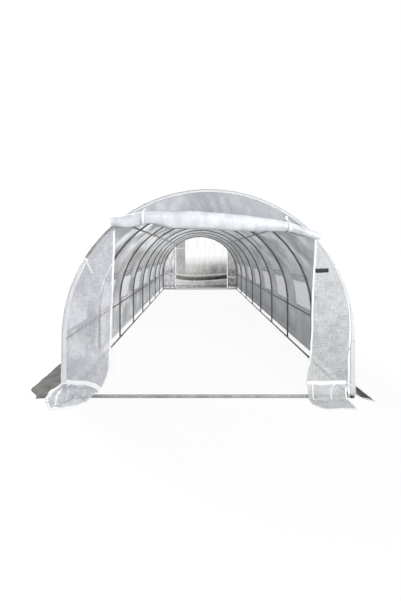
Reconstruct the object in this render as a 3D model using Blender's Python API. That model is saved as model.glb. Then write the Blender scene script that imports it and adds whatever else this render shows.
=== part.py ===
# Walk-in polytunnel: nine steel hoops carry a white woven film cover with
# eight screened windows a side, a rolled-up front door and a zipped rear door.
# Metres, +X right, +Y into the tunnel, +Z up, origin on the ground under the middle.

from math import cos, hypot, pi, radians, sin, sqrt

import bmesh
import bpy
from mathutils import Vector

# Hoops: straight legs under a semicircular arch, sizes at the tube's centreline
BAY_COUNT = 8
BAY = 1.0
HOOP_RADIUS = 1.4875
SPRING = 0.64              # height at which the arch starts to bend
ARC_STEPS = 24             # bends in the semicircle
HOOP_TUBE = 0.025
HOOP_WALL = 0.0012
ARCH_TAIL = 0.06           # straight end of the arch, which takes the leg's spigot
SPIGOT = 0.045
SPIGOT_TAPER = 0.003       # height over which the leg's bore narrows into its spigot
TUBE_SIDES = 8

# Lengthwise tubes and door sills
RAIL_TUBE = 0.019
RAIL_WALL = 0.001
BASE_TUBE = 0.025
SILL_TUBE = 0.030
PURLIN_FACET = 7           # the purlins lie on this flat of the arch, 52.5 degrees up

# Film cover and its ground skirts
FILM = 0.002
SCREEN = 0.0008            # what is left of the film where a window is recessed
SKIRT_SEAM = 0.15          # height at which the side skirts leave the wall
SKIRT_TOE = 0.22           # where a skirt meets the ground, out from the wall
SKIRT_REACH = 0.40
APRON_HEM = 0.13           # height at which the end aprons leave the wall
APRON_TOE = 0.10
APRON_REACH = 0.22

# Windows and their rolled flaps
WINDOW_START = 0.02        # from the hoop's centre to the window's near edge
WINDOW_LENGTH = 0.58
WINDOW_HEIGHT = 0.40
WINDOW_DROP = 0.062        # from the roll's seat down to the window's top edge
FLAP_BEND = 2              # the flap rolls lie on this bend of the arch, 18.75 degrees up
FLAP_ROLL = 0.045
FLAP_SPARE = 0.02          # how far a flap passes the window's edge at each end
FLAP_SIDES = 10

# Doors
DOOR_HALF = 1.03
DOOR_SHIFT = 0.055         # how far to the right of the hoops' centre the doors hang
DOOR_SLANT = 0.09          # how far the front door's head rises to its left corner
DOOR_NECK = 0.03           # film left between a door's right top corner and the arch above it
DOOR_FOOT = 0.04
DOOR_HEM = 0.03

# Front door rolled up: how high its centre hangs over the door's head, and its height,
# at the left end, left strap, middle, right strap and right end
ROLL_RISE = (0.145, 0.20, 0.175, 0.135, 0.025)
ROLL_HEIGHT = (0.095, 0.11, 0.20, 0.155, 0.12)
ROLL_DEPTH = 0.12
ROLL_LEFT = 0.005          # the roll's ends, out from the door's edges
ROLL_RIGHT = 0.035
ROLL_STANDOFF = 0.008      # between the roll and the end wall, for the zip sliders
ROLL_SIDES = 12
ROLL_RINGS = 15
ROLL_LIP = 0.12            # how much the film's loose edge steps, as a share of the radius
STRAP_INSET = 0.325        # from the roll's end to its strap
STRAP_WIDTH = 0.03
STRAP_THICK = 0.002
STRAP_DROP = 0.03          # from the front hoop down to a strap's sewn end

# Zip sliders
SLIDER_WIDTH = 0.012
SLIDER_BODY = 0.022
SLIDER_PULL = 0.038
PULL_WIDTH = 0.007
SLIDER_THICK = 0.004
SLIDER_DROP = 0.08         # from the door's head down to a closed slider

# Clearance between pieces that seat on each other
GAP = 0.0003
STRAP_GAP = 0.0005

CUTTER_PROUD = 0.01        # how far the window cutter stands out of the cover
SHARP = radians(50)        # faces that meet at more than this keep a hard edge

HOOP_R = HOOP_TUBE / 2
ARC_STEP = pi / ARC_STEPS
LENGTH = BAY_COUNT * BAY
COVER_INSIDE = HOOP_R + GAP            # out from the hoop's centreline
WALL_INSIDE = LENGTH / 2 + HOOP_R + GAP
WALL_FACE = WALL_INSIDE + FILM
ACROSS = Vector((1, 0, 0))
ALONG = Vector((0, 1, 0))
UP = Vector((0, 0, 1))


def make_material(name, colour, roughness, metallic=0.0):
    material = bpy.data.materials.new(name)
    material.use_nodes = True
    shader = material.node_tree.nodes["Principled BSDF"]
    shader.inputs["Base Color"].default_value = (*colour, 1)
    shader.inputs["Roughness"].default_value = roughness
    shader.inputs["Metallic"].default_value = metallic
    return material


def make_object(name, mesh, material):
    if material:
        mesh.materials.append(material)
    item = bpy.data.objects.new(name, mesh)
    bpy.context.collection.objects.link(item)
    return item


def loft(name, rings, material, closed=False, smooth=False):
    """A solid skinned over rings of equal count; a closed one joins its last ring to its first."""
    size = len(rings[0])
    skin = bmesh.new()
    rows = [[skin.verts.new(point) for point in ring] for ring in rings]
    followers = rows[1:] + rows[:1] if closed else rows[1:]
    for row, follower in zip(rows, followers):
        for k in range(size):
            after = (k + 1) % size
            skin.faces.new((row[k], row[after], follower[after], follower[k]))
    if not closed:
        skin.faces.new(rows[0])
        skin.faces.new(rows[-1])
    bmesh.ops.recalc_face_normals(skin, faces=skin.faces)
    mesh = bpy.data.meshes.new(name)
    skin.to_mesh(mesh)
    skin.free()
    if smooth:
        mesh.shade_smooth()
        mesh.set_sharp_from_angle(angle=SHARP)
    return make_object(name, mesh, material)


def tube_ring(centre, flat, side, radius):
    """Points round a tube whose flats, not its corners, lie a radius away along flat and side."""
    corner = radius / cos(pi / TUBE_SIDES)
    turns = [2 * pi * (k + 0.5) / TUBE_SIDES for k in range(TUBE_SIDES)]
    return [centre + flat * corner * cos(t) + side * corner * sin(t) for t in turns]


def straight_tube(name, start, end, flat, diameter, wall, material):
    """An open tube between two points, with one of its flats turned towards flat."""
    side = (end - start).normalized().cross(flat)
    outer = diameter / 2
    bore = outer - wall
    stops = ((start, outer), (end, outer), (end, bore), (start, bore))
    rings = [tube_ring(point, flat, side, radius) for point, radius in stops]
    return loft(name, rings, material, closed=True, smooth=True)


def hoop_path(foot):
    """The hoop's centreline from its right foot over the top to its left one, as (x, z)."""
    bends = [ARC_STEP * (k + 0.5) for k in range(ARC_STEPS)]
    spring = Vector((0, SPRING))
    arc = [spring + HOOP_RADIUS * Vector((cos(a), sin(a))) for a in bends]
    ends = [Vector((HOOP_RADIUS, z)) for z in (foot, SPRING)]
    return [*ends, *arc, *(Vector((-p.x, p.y)) for p in reversed(ends))]


def mitres(path):
    """For each point of a path, the vector that takes it to a parallel path 1 m outside."""
    steps = [(b - a).normalized() for a, b in zip(path, path[1:])]
    sides = [Vector((s.y, -s.x)) for s in steps]
    sides = [sides[0], *sides, sides[-1]]
    return [(a + b) / (1 + a.dot(b)) for a, b in zip(sides, sides[1:])]


def offset(path, distance):
    return [point + mitre * distance for point, mitre in zip(path, mitres(path))]


def in_plane(point, y):
    return Vector((point.x, y, point.y))


def hoop_y(number):
    return BAY * number - LENGTH / 2


def make_arch(number, material):
    """The bent part of a hoop: a hollow tube with mitred bends and open tails."""
    path = hoop_path(SPRING - ARCH_TAIL)
    y = hoop_y(number)
    normals = [in_plane(mitre, 0) for mitre in mitres(path)]
    shells = []
    for radius in (HOOP_R, HOOP_R - HOOP_WALL):
        shells.append([tube_ring(in_plane(p, y), n, ALONG, radius) for p, n in zip(path, normals)])
    rings = shells[0] + shells[1][::-1]
    return loft(f"arch_{number + 1}", rings, material, closed=True, smooth=True)


def make_leg(name, x, y, material):
    """A straight leg whose top is drawn in to a spigot that fits up inside the arch's tail."""
    bore = HOOP_R - HOOP_WALL
    spigot = bore - GAP
    shoulder = SPRING - ARCH_TAIL - GAP
    top = shoulder + SPIGOT
    outside = ((0, HOOP_R), (shoulder, HOOP_R), (shoulder, spigot), (top, spigot))
    narrow = spigot - HOOP_WALL
    inside = ((top, narrow), (shoulder - HOOP_WALL, narrow),
              (shoulder - HOOP_WALL - SPIGOT_TAPER, bore), (0, bore))
    rings = [tube_ring(Vector((x, y, z)), ACROSS, ALONG, r) for z, r in outside + inside]
    return loft(name, rings, material, closed=True, smooth=True)


def make_rails(material):
    """Base, middle and upper rails, each one length from the first hoop to the last."""
    reach = LENGTH / 2 + HOOP_R
    seat = HOOP_R + GAP
    flat_radius = HOOP_RADIUS * cos(ARC_STEP / 2)
    slope = ARC_STEP * PURLIN_FACET
    for name, sign in (("right", 1), ("left", -1)):
        base = Vector((sign * (HOOP_RADIUS - seat - BASE_TUBE / 2), 0, BASE_TUBE / 2))
        middle = Vector((sign * (HOOP_RADIUS - seat - RAIL_TUBE / 2), 0, SPRING - ARCH_TAIL / 2))
        radial = Vector((sign * cos(slope), 0, sin(slope)))
        upper = UP * SPRING + radial * (flat_radius - seat - RAIL_TUBE / 2)
        for kind, centre, flat, diameter in (
            ("base_rail", base, ACROSS, BASE_TUBE),
            ("middle_rail", middle, ACROSS, RAIL_TUBE),
            ("purlin", upper, radial, RAIL_TUBE),
        ):
            start = centre - ALONG * reach
            end = centre + ALONG * reach
            straight_tube(f"{kind}_{name}", start, end, flat, diameter, RAIL_WALL, material)


def make_sills(material):
    """The two tubes on the ground that tie the base rails together under the doors."""
    half = HOOP_RADIUS - HOOP_R - BASE_TUBE - 2 * GAP
    for name, y in (("front_sill", -LENGTH / 2), ("rear_sill", LENGTH / 2)):
        centre = Vector((0, y, SILL_TUBE / 2))
        straight_tube(name, centre - ACROSS * half, centre + ACROSS * half, UP, SILL_TUBE,
                      RAIL_WALL, material)


def band(path, low, high):
    """The stretch of a path's rising right side between two heights."""
    rising = path[: len(path) // 2]
    ends = []
    for height in (low, high):
        below, above = next((a, b) for a, b in zip(rising, rising[1:]) if b.y > height)
        ends.append(below.lerp(above, (height - below.y) / (above.y - below.y)))
    return [ends[0], *(p for p in rising if low < p.y < high), ends[1]]


def make_window_cutter():
    """Curved blocks that recess the windows into the cover from outside, leaving the screen."""
    seat = SPRING + (HOOP_RADIUS + COVER_INSIDE + FILM) * sin(ARC_STEP * (FLAP_BEND + 0.5))
    high = seat - WINDOW_DROP
    low = high - WINDOW_HEIGHT
    path = hoop_path(SKIRT_SEAM)
    floor = band(offset(path, COVER_INSIDE + SCREEN), low, high)
    outside = band(offset(path, COVER_INSIDE + FILM + CUTTER_PROUD), low, high)
    cutter = bmesh.new()
    for number in range(BAY_COUNT):
        start = hoop_y(number) + WINDOW_START
        for sign in (1, -1):
            rows = []
            for y in (start, start + WINDOW_LENGTH):
                outline = [Vector((sign * p.x, p.y)) for p in floor + outside[::-1]]
                rows.append([cutter.verts.new(in_plane(p, y)) for p in outline])
            for row in rows:
                cutter.faces.new(row)
            for k in range(len(outline)):
                cutter.faces.new((rows[0][k - 1], rows[0][k], rows[1][k], rows[1][k - 1]))
    bmesh.ops.recalc_face_normals(cutter, faces=cutter.faces)
    mesh = bpy.data.meshes.new("window_cutter")
    cutter.to_mesh(mesh)
    cutter.free()
    item = make_object("window_cutter", mesh, None)
    item.hide_render = True
    item.display_type = "WIRE"
    return item


def make_cover(material):
    """One sheet over all the hoops, with skirts that spread on the ground at both sides."""
    wall = offset(hoop_path(SKIRT_SEAM), COVER_INSIDE)
    edge = wall[0].x
    skirt = [Vector((edge + SKIRT_REACH, 0)), Vector((edge + SKIRT_TOE, 0))]
    inner = [*skirt, *wall, *(Vector((-p.x, p.y)) for p in reversed(skirt))]
    outer = offset(inner, FILM)
    rings = []
    for a, b in zip(inner, outer):
        corners = ((a, -WALL_FACE), (b, -WALL_FACE), (b, WALL_FACE), (a, WALL_FACE))
        rings.append([in_plane(point, y) for point, y in corners])
    cover = loft("cover", rings, material)
    windows = cover.modifiers.new("windows", "BOOLEAN")
    windows.operation = "DIFFERENCE"
    windows.solver = "EXACT"
    windows.object = make_window_cutter()


def door_sides():
    return DOOR_SHIFT - DOOR_HALF, DOOR_SHIFT + DOOR_HALF


def door_head():
    """The height of a door's right top corner, set by the arch above it."""
    rim = HOOP_RADIUS + HOOP_R
    return SPRING + sqrt(rim**2 - door_sides()[1] ** 2) - DOOR_NECK


def make_end_wall(name, facing, slant, material):
    """An end wall cut as one sheet round its doorway, with an apron under each side panel."""
    rim = offset(hoop_path(APRON_HEM), HOOP_R)
    left, right = door_sides()
    head = door_head()
    doorway = [Vector(p) for p in ((left, APRON_HEM), (left, head + slant),
                                   (right, head), (right, APRON_HEM))]
    sheet = bmesh.new()
    verts = [sheet.verts.new(in_plane(p, facing * WALL_INSIDE)) for p in rim + doorway]
    sheet.faces.new(verts)
    count = len(rim)
    for top in ((verts[0], verts[-1]), (verts[count], verts[count - 1])):
        for reach in (APRON_TOE, APRON_REACH):
            y = facing * (WALL_INSIDE + reach)
            foot = [sheet.verts.new((vert.co.x, y, 0)) for vert in top]
            sheet.faces.new((top[0], foot[0], foot[1], top[1]))
            top = foot
    bmesh.ops.recalc_face_normals(sheet, faces=sheet.faces)
    sheet.faces.ensure_lookup_table()
    if sheet.faces[0].normal.y * facing < 0:
        bmesh.ops.reverse_faces(sheet, faces=sheet.faces)
    mesh = bpy.data.meshes.new(name)
    sheet.to_mesh(mesh)
    sheet.free()
    wall = make_object(name, mesh, material)
    thickness = wall.modifiers.new("film", "SOLIDIFY")
    thickness.thickness = FILM
    thickness.offset = 1
    thickness.use_even_offset = True
    thickness.use_quality_normals = True


def make_rear_door(material):
    """The zipped rear door, hung by its top seam inside the doorway, with a thicker foot hem."""
    inside = WALL_INSIDE
    top = door_head() - GAP
    hem_top = DOOR_FOOT + DOOR_HEM
    profile = ((inside, top), (inside, DOOR_FOOT), (inside + 2 * FILM, DOOR_FOOT),
               (inside + 2 * FILM, hem_top), (inside + FILM, hem_top), (inside + FILM, top))
    left, right = door_sides()
    rings = [[Vector((x, y, z)) for y, z in profile] for x in (left + GAP, right - GAP)]
    loft("rear_door", rings, material)


def rolled_outline(sides):
    """A unit outline of rolled film, as (cosine, sine), with the step of its loose edge."""
    outline = []
    for k in range(sides):
        turn = -2 * pi * k / sides
        reach = 1 - ROLL_LIP * (1 - k / (sides - 1))
        outline.append((reach * cos(turn), reach * sin(turn)))
    return outline


def smooth_through(values, share):
    """A smooth curve through evenly spaced values, read at a share of its length from 0 to 1."""
    last = len(values) - 1
    k = min(int(share * last), last - 1)
    t = share * last - k
    a, b = values[k], values[k + 1]
    before = values[max(k - 1, 0)]
    after = values[min(k + 2, last)]
    leaving = (b - before) / 2
    arriving = (after - a) / 2
    bend = 3 * (b - a) - 2 * leaving - arriving
    return a + leaving * t + bend * t**2 + (leaving + arriving - 2 * (b - a)) * t**3


def roll_stations():
    """The places along the rolled door that its rises and heights are given for."""
    left, right = door_sides()
    left -= ROLL_LEFT
    right += ROLL_RIGHT
    return left, left + STRAP_INSET, (left + right) / 2, right - STRAP_INSET, right


def roll_section(x):
    """The rolled door's centre height and half height at a place along it."""
    stations = roll_stations()
    k = max(i for i, place in enumerate(stations[:-1]) if place <= x)
    share = (k + (x - stations[k]) / (stations[k + 1] - stations[k])) / (len(stations) - 1)
    rise = smooth_through(ROLL_RISE, share)
    height = smooth_through(ROLL_HEIGHT, share)
    return door_head() + rise, height / 2


def roll_rings():
    """Where the rolled door's rings lie, its centre height there and its half height."""
    stations = roll_stations()
    spread = stations[-1] - stations[0]
    places = [stations[0] + spread * k / (ROLL_RINGS - 1) for k in range(ROLL_RINGS)]
    return [(x, *roll_section(min(x, stations[-1]))) for x in places]


def roll_at(x):
    """The same between two rings, where the roll's faces run straight."""
    rings = roll_rings()
    a, b = next((a, b) for a, b in zip(rings, rings[1:]) if b[0] >= x)
    share = (x - a[0]) / (b[0] - a[0])
    return [p + (q - p) * share for p, q in zip(a[1:], b[1:])]


def roll_axis_y():
    return -WALL_FACE - ROLL_STANDOFF - ROLL_DEPTH / 2


def make_door_roll(material):
    """The front door's film, rolled up over the doorway and sagging between its straps."""
    outline = rolled_outline(ROLL_SIDES)
    rings = []
    for x, middle, half in roll_rings():
        centre = Vector((x, roll_axis_y(), middle))
        rings.append([centre + ALONG * c * ROLL_DEPTH / 2 + UP * s * half for c, s in outline])
    loft("front_door_roll", rings, material, smooth=True)


def strap_path(x, sewn):
    """A strap's inner face at one of its edges: down the wall, then under and over the roll."""
    middle, half = roll_at(x)
    path = [Vector((x, -WALL_FACE - GAP - STRAP_THICK, sewn))]
    for c, s in rolled_outline(ROLL_SIDES)[:-1]:
        clear = 1 + STRAP_GAP / hypot(c * ROLL_DEPTH / 2, s * half)
        y = roll_axis_y() + clear * c * ROLL_DEPTH / 2
        path.append(Vector((x, y, middle + clear * s * half)))
    return path


def make_strap(name, x, material):
    """A webbing strap that hangs the rolled door from the end wall."""
    hoop = SPRING + sqrt(HOOP_RADIUS**2 - x**2)
    sewn = hoop - STRAP_DROP
    near = strap_path(x - STRAP_WIDTH / 2, sewn)
    far = strap_path(x + STRAP_WIDTH / 2, sewn)
    flat = [Vector((-p.y, p.z)) for p in near]
    backs = [Vector((0, -m.x, m.y)) * STRAP_THICK for m in mitres(flat)]
    rings = [[a, a + back, b + back, b] for a, b, back in zip(near, far, backs)]
    return loft(name, rings, material)


def make_flap_rolls(material):
    """A rolled window flap above each window, free to unroll down the curve of the cover."""
    slope = ARC_STEP * (FLAP_BEND + 0.5)
    shell = HOOP_RADIUS + (COVER_INSIDE + FILM) / cos(ARC_STEP / 2)
    outline = rolled_outline(FLAP_SIDES)
    reach = max(c for c, s in outline) * FLAP_ROLL / 2
    for name, sign in (("right", 1), ("left", -1)):
        out = Vector((sign * cos(slope), 0, sin(slope)))
        down = Vector((sign * sin(slope), 0, -cos(slope)))
        centre = UP * SPRING + out * (shell + GAP + reach)
        spots = [centre - (out * c + down * s) * FLAP_ROLL / 2 for c, s in outline]
        for number in range(BAY_COUNT):
            start = hoop_y(number) + WINDOW_START - FLAP_SPARE
            stops = (start, start + WINDOW_LENGTH + 2 * FLAP_SPARE)
            rings = [[spot + ALONG * y for spot in spots] for y in stops]
            loft(f"window_flap_{name}_{number + 1}", rings, material, smooth=True)


def make_slider(name, sign, material):
    """A zip slider with its hanging pull, on the end wall beside the doorway."""
    left, right = door_sides()
    centre = right + SLIDER_WIDTH if sign > 0 else left - SLIDER_WIDTH
    head = door_head() if sign > 0 else door_head() + DOOR_SLANT
    wide = SLIDER_WIDTH / 2
    slim = PULL_WIDTH / 2
    foot = -SLIDER_BODY / 2
    crown = SLIDER_BODY / 2
    outline = ((-wide, foot), (-wide, crown - slim), (-slim, crown), (slim, crown),
               (wide, crown - slim), (wide, foot), (slim, foot - slim),
               (slim, foot - SLIDER_PULL), (-slim, foot - SLIDER_PULL), (-slim, foot - slim))
    back = -WALL_FACE - GAP
    height = head - SLIDER_DROP
    rings = []
    for y in (back, back - SLIDER_THICK):
        rings.append([Vector((centre + x, y, height + z)) for x, z in outline])
    return loft(name, rings, material)


def build():
    for item in list(bpy.data.objects):
        bpy.data.objects.remove(item)
    steel = make_material("galvanised_steel", (0.42, 0.43, 0.44), 0.45, 0.9)
    film = make_material("woven_film", (0.82, 0.84, 0.86), 0.4)
    webbing = make_material("white_webbing", (0.78, 0.80, 0.82), 0.7)
    nylon = make_material("white_nylon", (0.75, 0.76, 0.78), 0.4)
    for number in range(BAY_COUNT + 1):
        make_arch(number, steel)
        for side, sign in (("right", 1), ("left", -1)):
            make_leg(f"leg_{side}_{number + 1}", sign * HOOP_RADIUS, hoop_y(number), steel)
    make_rails(steel)
    make_sills(steel)
    make_cover(film)
    make_end_wall("front_end_wall", -1, DOOR_SLANT, film)
    make_end_wall("rear_end_wall", 1, 0, film)
    make_door_roll(film)
    stations = roll_stations()
    make_strap("door_strap_left", stations[1], webbing)
    make_strap("door_strap_right", stations[3], webbing)
    make_rear_door(film)
    make_flap_rolls(film)
    make_slider("zip_slider_left", -1, nylon)
    make_slider("zip_slider_right", 1, nylon)


build()
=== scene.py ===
# Looks of a walk-in polytunnel: woven film with its folds, tapes, screens and rolled
# flaps on a galvanised frame. Metres, +X right, +Y into the tunnel, +Z up.
import math

import bpy
import numpy as np
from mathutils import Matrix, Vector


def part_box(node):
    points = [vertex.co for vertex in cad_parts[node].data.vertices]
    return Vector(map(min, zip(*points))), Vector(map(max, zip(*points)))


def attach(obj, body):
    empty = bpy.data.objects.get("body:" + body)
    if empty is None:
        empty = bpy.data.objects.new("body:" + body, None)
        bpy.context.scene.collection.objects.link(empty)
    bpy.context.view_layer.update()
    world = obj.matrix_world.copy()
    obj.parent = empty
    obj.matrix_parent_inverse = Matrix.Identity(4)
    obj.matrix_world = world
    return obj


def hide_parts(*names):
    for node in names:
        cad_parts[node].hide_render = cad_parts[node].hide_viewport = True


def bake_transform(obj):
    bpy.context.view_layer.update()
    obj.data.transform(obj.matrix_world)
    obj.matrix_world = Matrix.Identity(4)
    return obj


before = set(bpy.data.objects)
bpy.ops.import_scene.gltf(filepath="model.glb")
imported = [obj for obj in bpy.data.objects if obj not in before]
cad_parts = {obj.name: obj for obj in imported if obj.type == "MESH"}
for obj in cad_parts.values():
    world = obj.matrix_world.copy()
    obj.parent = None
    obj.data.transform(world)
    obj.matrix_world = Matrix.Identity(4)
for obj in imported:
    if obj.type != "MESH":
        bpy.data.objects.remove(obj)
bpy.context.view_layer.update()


# Places read off the frame

def middleOf(node):
    low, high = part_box(node)
    return (low + high) / 2


archLow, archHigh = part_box("arch_1")
tubeSize = archHigh.y - archLow.y
hoopRadius = archHigh.x - tubeSize / 2
hoopNumbers = range(1, 10)
hoopPlaces = [middleOf(f"arch_{k}").y for k in hoopNumbers]
bay = hoopPlaces[1] - hoopPlaces[0]
doorLow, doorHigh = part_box("rear_door")
wallPlace = doorLow.y          # how far out from the middle the end walls hang
springHeight = 0.64            # where the hoops start to bend
hands = (("left", -1), ("right", 1))
wholeTurn = 2 * math.pi

tunnel = {
    "skinGap": 0.0012,         # the film rides this far out of the hoops
    "seamHeight": 0.15,        # where the side wall ends in its skirt
    "skirtDrop": 0.22,         # film from that seam down to the ground
    "skirtRest": 0.27,         # film that lies on the ground
    "skirtToe": 0.12,          # how far out from the wall the skirt meets the ground
    "skirtReach": 0.43,        # how far out it ends
    "layFlat": 0.003,          # film on the ground lies this high
    "hoopHold": 0.13,          # the film is held smooth this near a hoop
    "roofSag": 0.022,
    "wallSag": 0.007,
    "grid": 0.036,             # spacing of the cover's points
    "creases": ((0.0050, 0.42, 21), (0.0014, 0.13, 41)),   # height, size and seed of each kind
    # height, angle, width, length and seed of each kind of soft fold
    "streaks": ((0.0040, 0.6, 0.07, 0.5, 31), (0.0040, -0.5, 0.08, 0.6, 32)),
}
skinRadius = hoopRadius + tubeSize / 2 + tunnel["skinGap"]
quarter = skinRadius * math.pi / 2
wallEnd = quarter + springHeight - tunnel["seamHeight"]
toePlace = wallEnd + tunnel["skirtDrop"]
skirtEnd = toePlace + tunnel["skirtRest"]
print("frame read:", len(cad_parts), "nodes, hoop radius", round(hoopRadius, 4))


# Small helpers for surfaces

def fade(value, start, end):   # 0 before start, 1 after end, smooth between
    share = np.clip((value - start) / (end - start), 0, 1)
    return share * share * (3 - 2 * share)


def cloud(u, v, size, seed):   # smooth hills from -1 to 1, each about size metres across
    hills = np.random.default_rng(seed).uniform(-1, 1, (64, 64))
    a, b = np.broadcast_arrays(np.asarray(u) / size, np.asarray(v) / size)
    i, j = np.floor(a).astype(int), np.floor(b).astype(int)
    f, g = a - i, b - j
    f, g = f * f * (3 - 2 * f), g * g * (3 - 2 * g)
    near = hills[i % 64, j % 64] * (1 - f) + hills[(i + 1) % 64, j % 64] * f
    far = hills[i % 64, (j + 1) % 64] * (1 - f) + hills[(i + 1) % 64, (j + 1) % 64] * f
    return near * (1 - g) + far * g


def crumple(u, v, size, seed):   # facets that meet in soft ridges, as creased film has
    total = 0
    for octave in range(3):
        bend = cloud(u, v, size * 1.7, seed + 10 + octave) * size * 0.35
        total = total + (0.45 - np.abs(cloud(u + bend, v - bend, size, seed + octave))) / 2**octave
        size = size / 2
    return total


def streaks(u, v, turn, wide, long, seed):   # long soft folds that run at an angle to v
    along = v * math.cos(turn) + u * math.sin(turn)
    across = u * math.cos(turn) - v * math.sin(turn)
    return cloud(across / wide, along / long, 1, seed)


def foldsOf(u, v, creases, soft):   # the height of film with several kinds of creases and soft folds
    total = 0
    for height, *shape in creases:
        total = total + height * crumple(u, v, *shape)
    for height, *shape in soft:
        total = total + height * streaks(u, v, *shape)
    return total


def crease(u, v, start, end, wide):   # one pinched fold between two places on a sheet
    du, dv = end[0] - start[0], end[1] - start[1]
    share = np.clip(((u - start[0]) * du + (v - start[1]) * dv) / (du * du + dv * dv), 0, 1)
    off = np.hypot(u - start[0] - share * du, v - start[1] - share * dv)
    return np.exp(-((off / wide) ** 2)) * np.sqrt(np.clip(1 - share, 0.05, 1))


def smoothThrough(places, values, at):   # a smooth curve through values at rising places
    places, values = np.array(places, float), np.array(values, float)
    slopes = np.gradient(values, places)
    at = np.asarray(at, float)
    k = np.clip(np.searchsorted(places, at) - 1, 0, len(places) - 2)
    step = places[k + 1] - places[k]
    t = np.clip((at - places[k]) / step, 0, 1)
    ends = values[k] * (1 + 2 * t) * (1 - t) ** 2 + values[k + 1] * t * t * (3 - 2 * t)
    return ends + step * t * (1 - t) * (slopes[k] * (1 - t) - slopes[k + 1] * t)


def stations(marks, spacing):   # rising places that hit each mark and lie about spacing apart
    runs = [np.linspace(a, b, max(2, round((b - a) / spacing) + 1))[:-1] for a, b in zip(marks, marks[1:])]
    return np.concatenate([*runs, [marks[-1]]])


def lengthsAlong(points):   # metres of path from the first point to each point
    return np.cumsum(np.r_[0, np.linalg.norm(np.diff(points, axis=0), axis=1)])


def patchOf(place, cut, keep=None):   # a grid of points, with its flat cut in metres as its UV
    rows, columns = place.shape[:2]
    number = np.arange(rows * columns).reshape(rows, columns)
    quads = np.stack((number[:-1, :-1], number[:-1, 1:], number[1:, 1:], number[1:, :-1]), -1)
    quads = quads.reshape(-1, 4) if keep is None else quads[keep]
    used, quads = np.unique(quads, return_inverse=True)
    cut = np.stack(np.broadcast_arrays(*cut), -1).reshape(-1, 2)
    return place.reshape(-1, 3)[used], quads.reshape(-1, 4), cut[used]


def pointsOf(x, y, z):
    return np.stack(np.broadcast_arrays(x, y, z), -1).astype(float)


def makePiece(name, patches, material, body, thick=0.0, smooth=True):
    mesh = bpy.data.meshes.new(name)
    offsets = np.cumsum([0] + [len(p[0]) for p in patches])
    points = np.concatenate([p[0] for p in patches])
    quads = np.concatenate([p[1] + start for p, start in zip(patches, offsets)])
    mesh.from_pydata(points.tolist(), [], quads.tolist())
    cut = np.concatenate([p[2] for p in patches])
    layer = mesh.uv_layers.new(name="cut")
    layer.data.foreach_set("uv", cut[quads.ravel()].astype(np.float32).ravel())
    if smooth:
        mesh.shade_smooth()
    mesh.materials.append(material)
    piece = bpy.data.objects.new(name, mesh)
    bpy.context.collection.objects.link(piece)
    if thick:
        shell = piece.modifiers.new("thickness", "SOLIDIFY")
        shell.thickness = thick
        shell.offset = 0
    if body:
        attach(piece, body)
    return piece


def tubePatch(centres, across, up, corners):   # a closed round skin along a line of ring centres
    turn = np.linspace(0, wholeTurn, corners + 1)
    place = centres[:, None, :] + np.cos(turn)[None, :, None] * across + np.sin(turn)[None, :, None] * up
    return patchOf(place, (turn[None, :] * 0.01, lengthsAlong(centres)[:, None]))


# Materials

def colourOf(code):   # an sRGB hex value as linear RGBA
    parts = [int(code[k:k + 2], 16) / 255 for k in (1, 3, 5)]
    return [c / 12.92 if c <= 0.04045 else ((c + 0.055) / 1.055) ** 2.4 for c in parts] + [1]


def newMaterial(name):
    material = bpy.data.materials.new(name)
    material.use_nodes = True
    material.node_tree.nodes.clear()
    return material


def addNode(material, kind, inputs=None, out=0, **settings):   # gives the output that out names, or the node
    node = material.node_tree.nodes.new("ShaderNode" + kind)
    for name, value in settings.items():
        setattr(node, name, value)
    for name, value in (inputs or {}).items():
        if isinstance(value, bpy.types.NodeSocket):
            material.node_tree.links.new(value, node.inputs[name])
        else:
            node.inputs[name].default_value = value
    return node if out is None else node.outputs[out]


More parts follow.
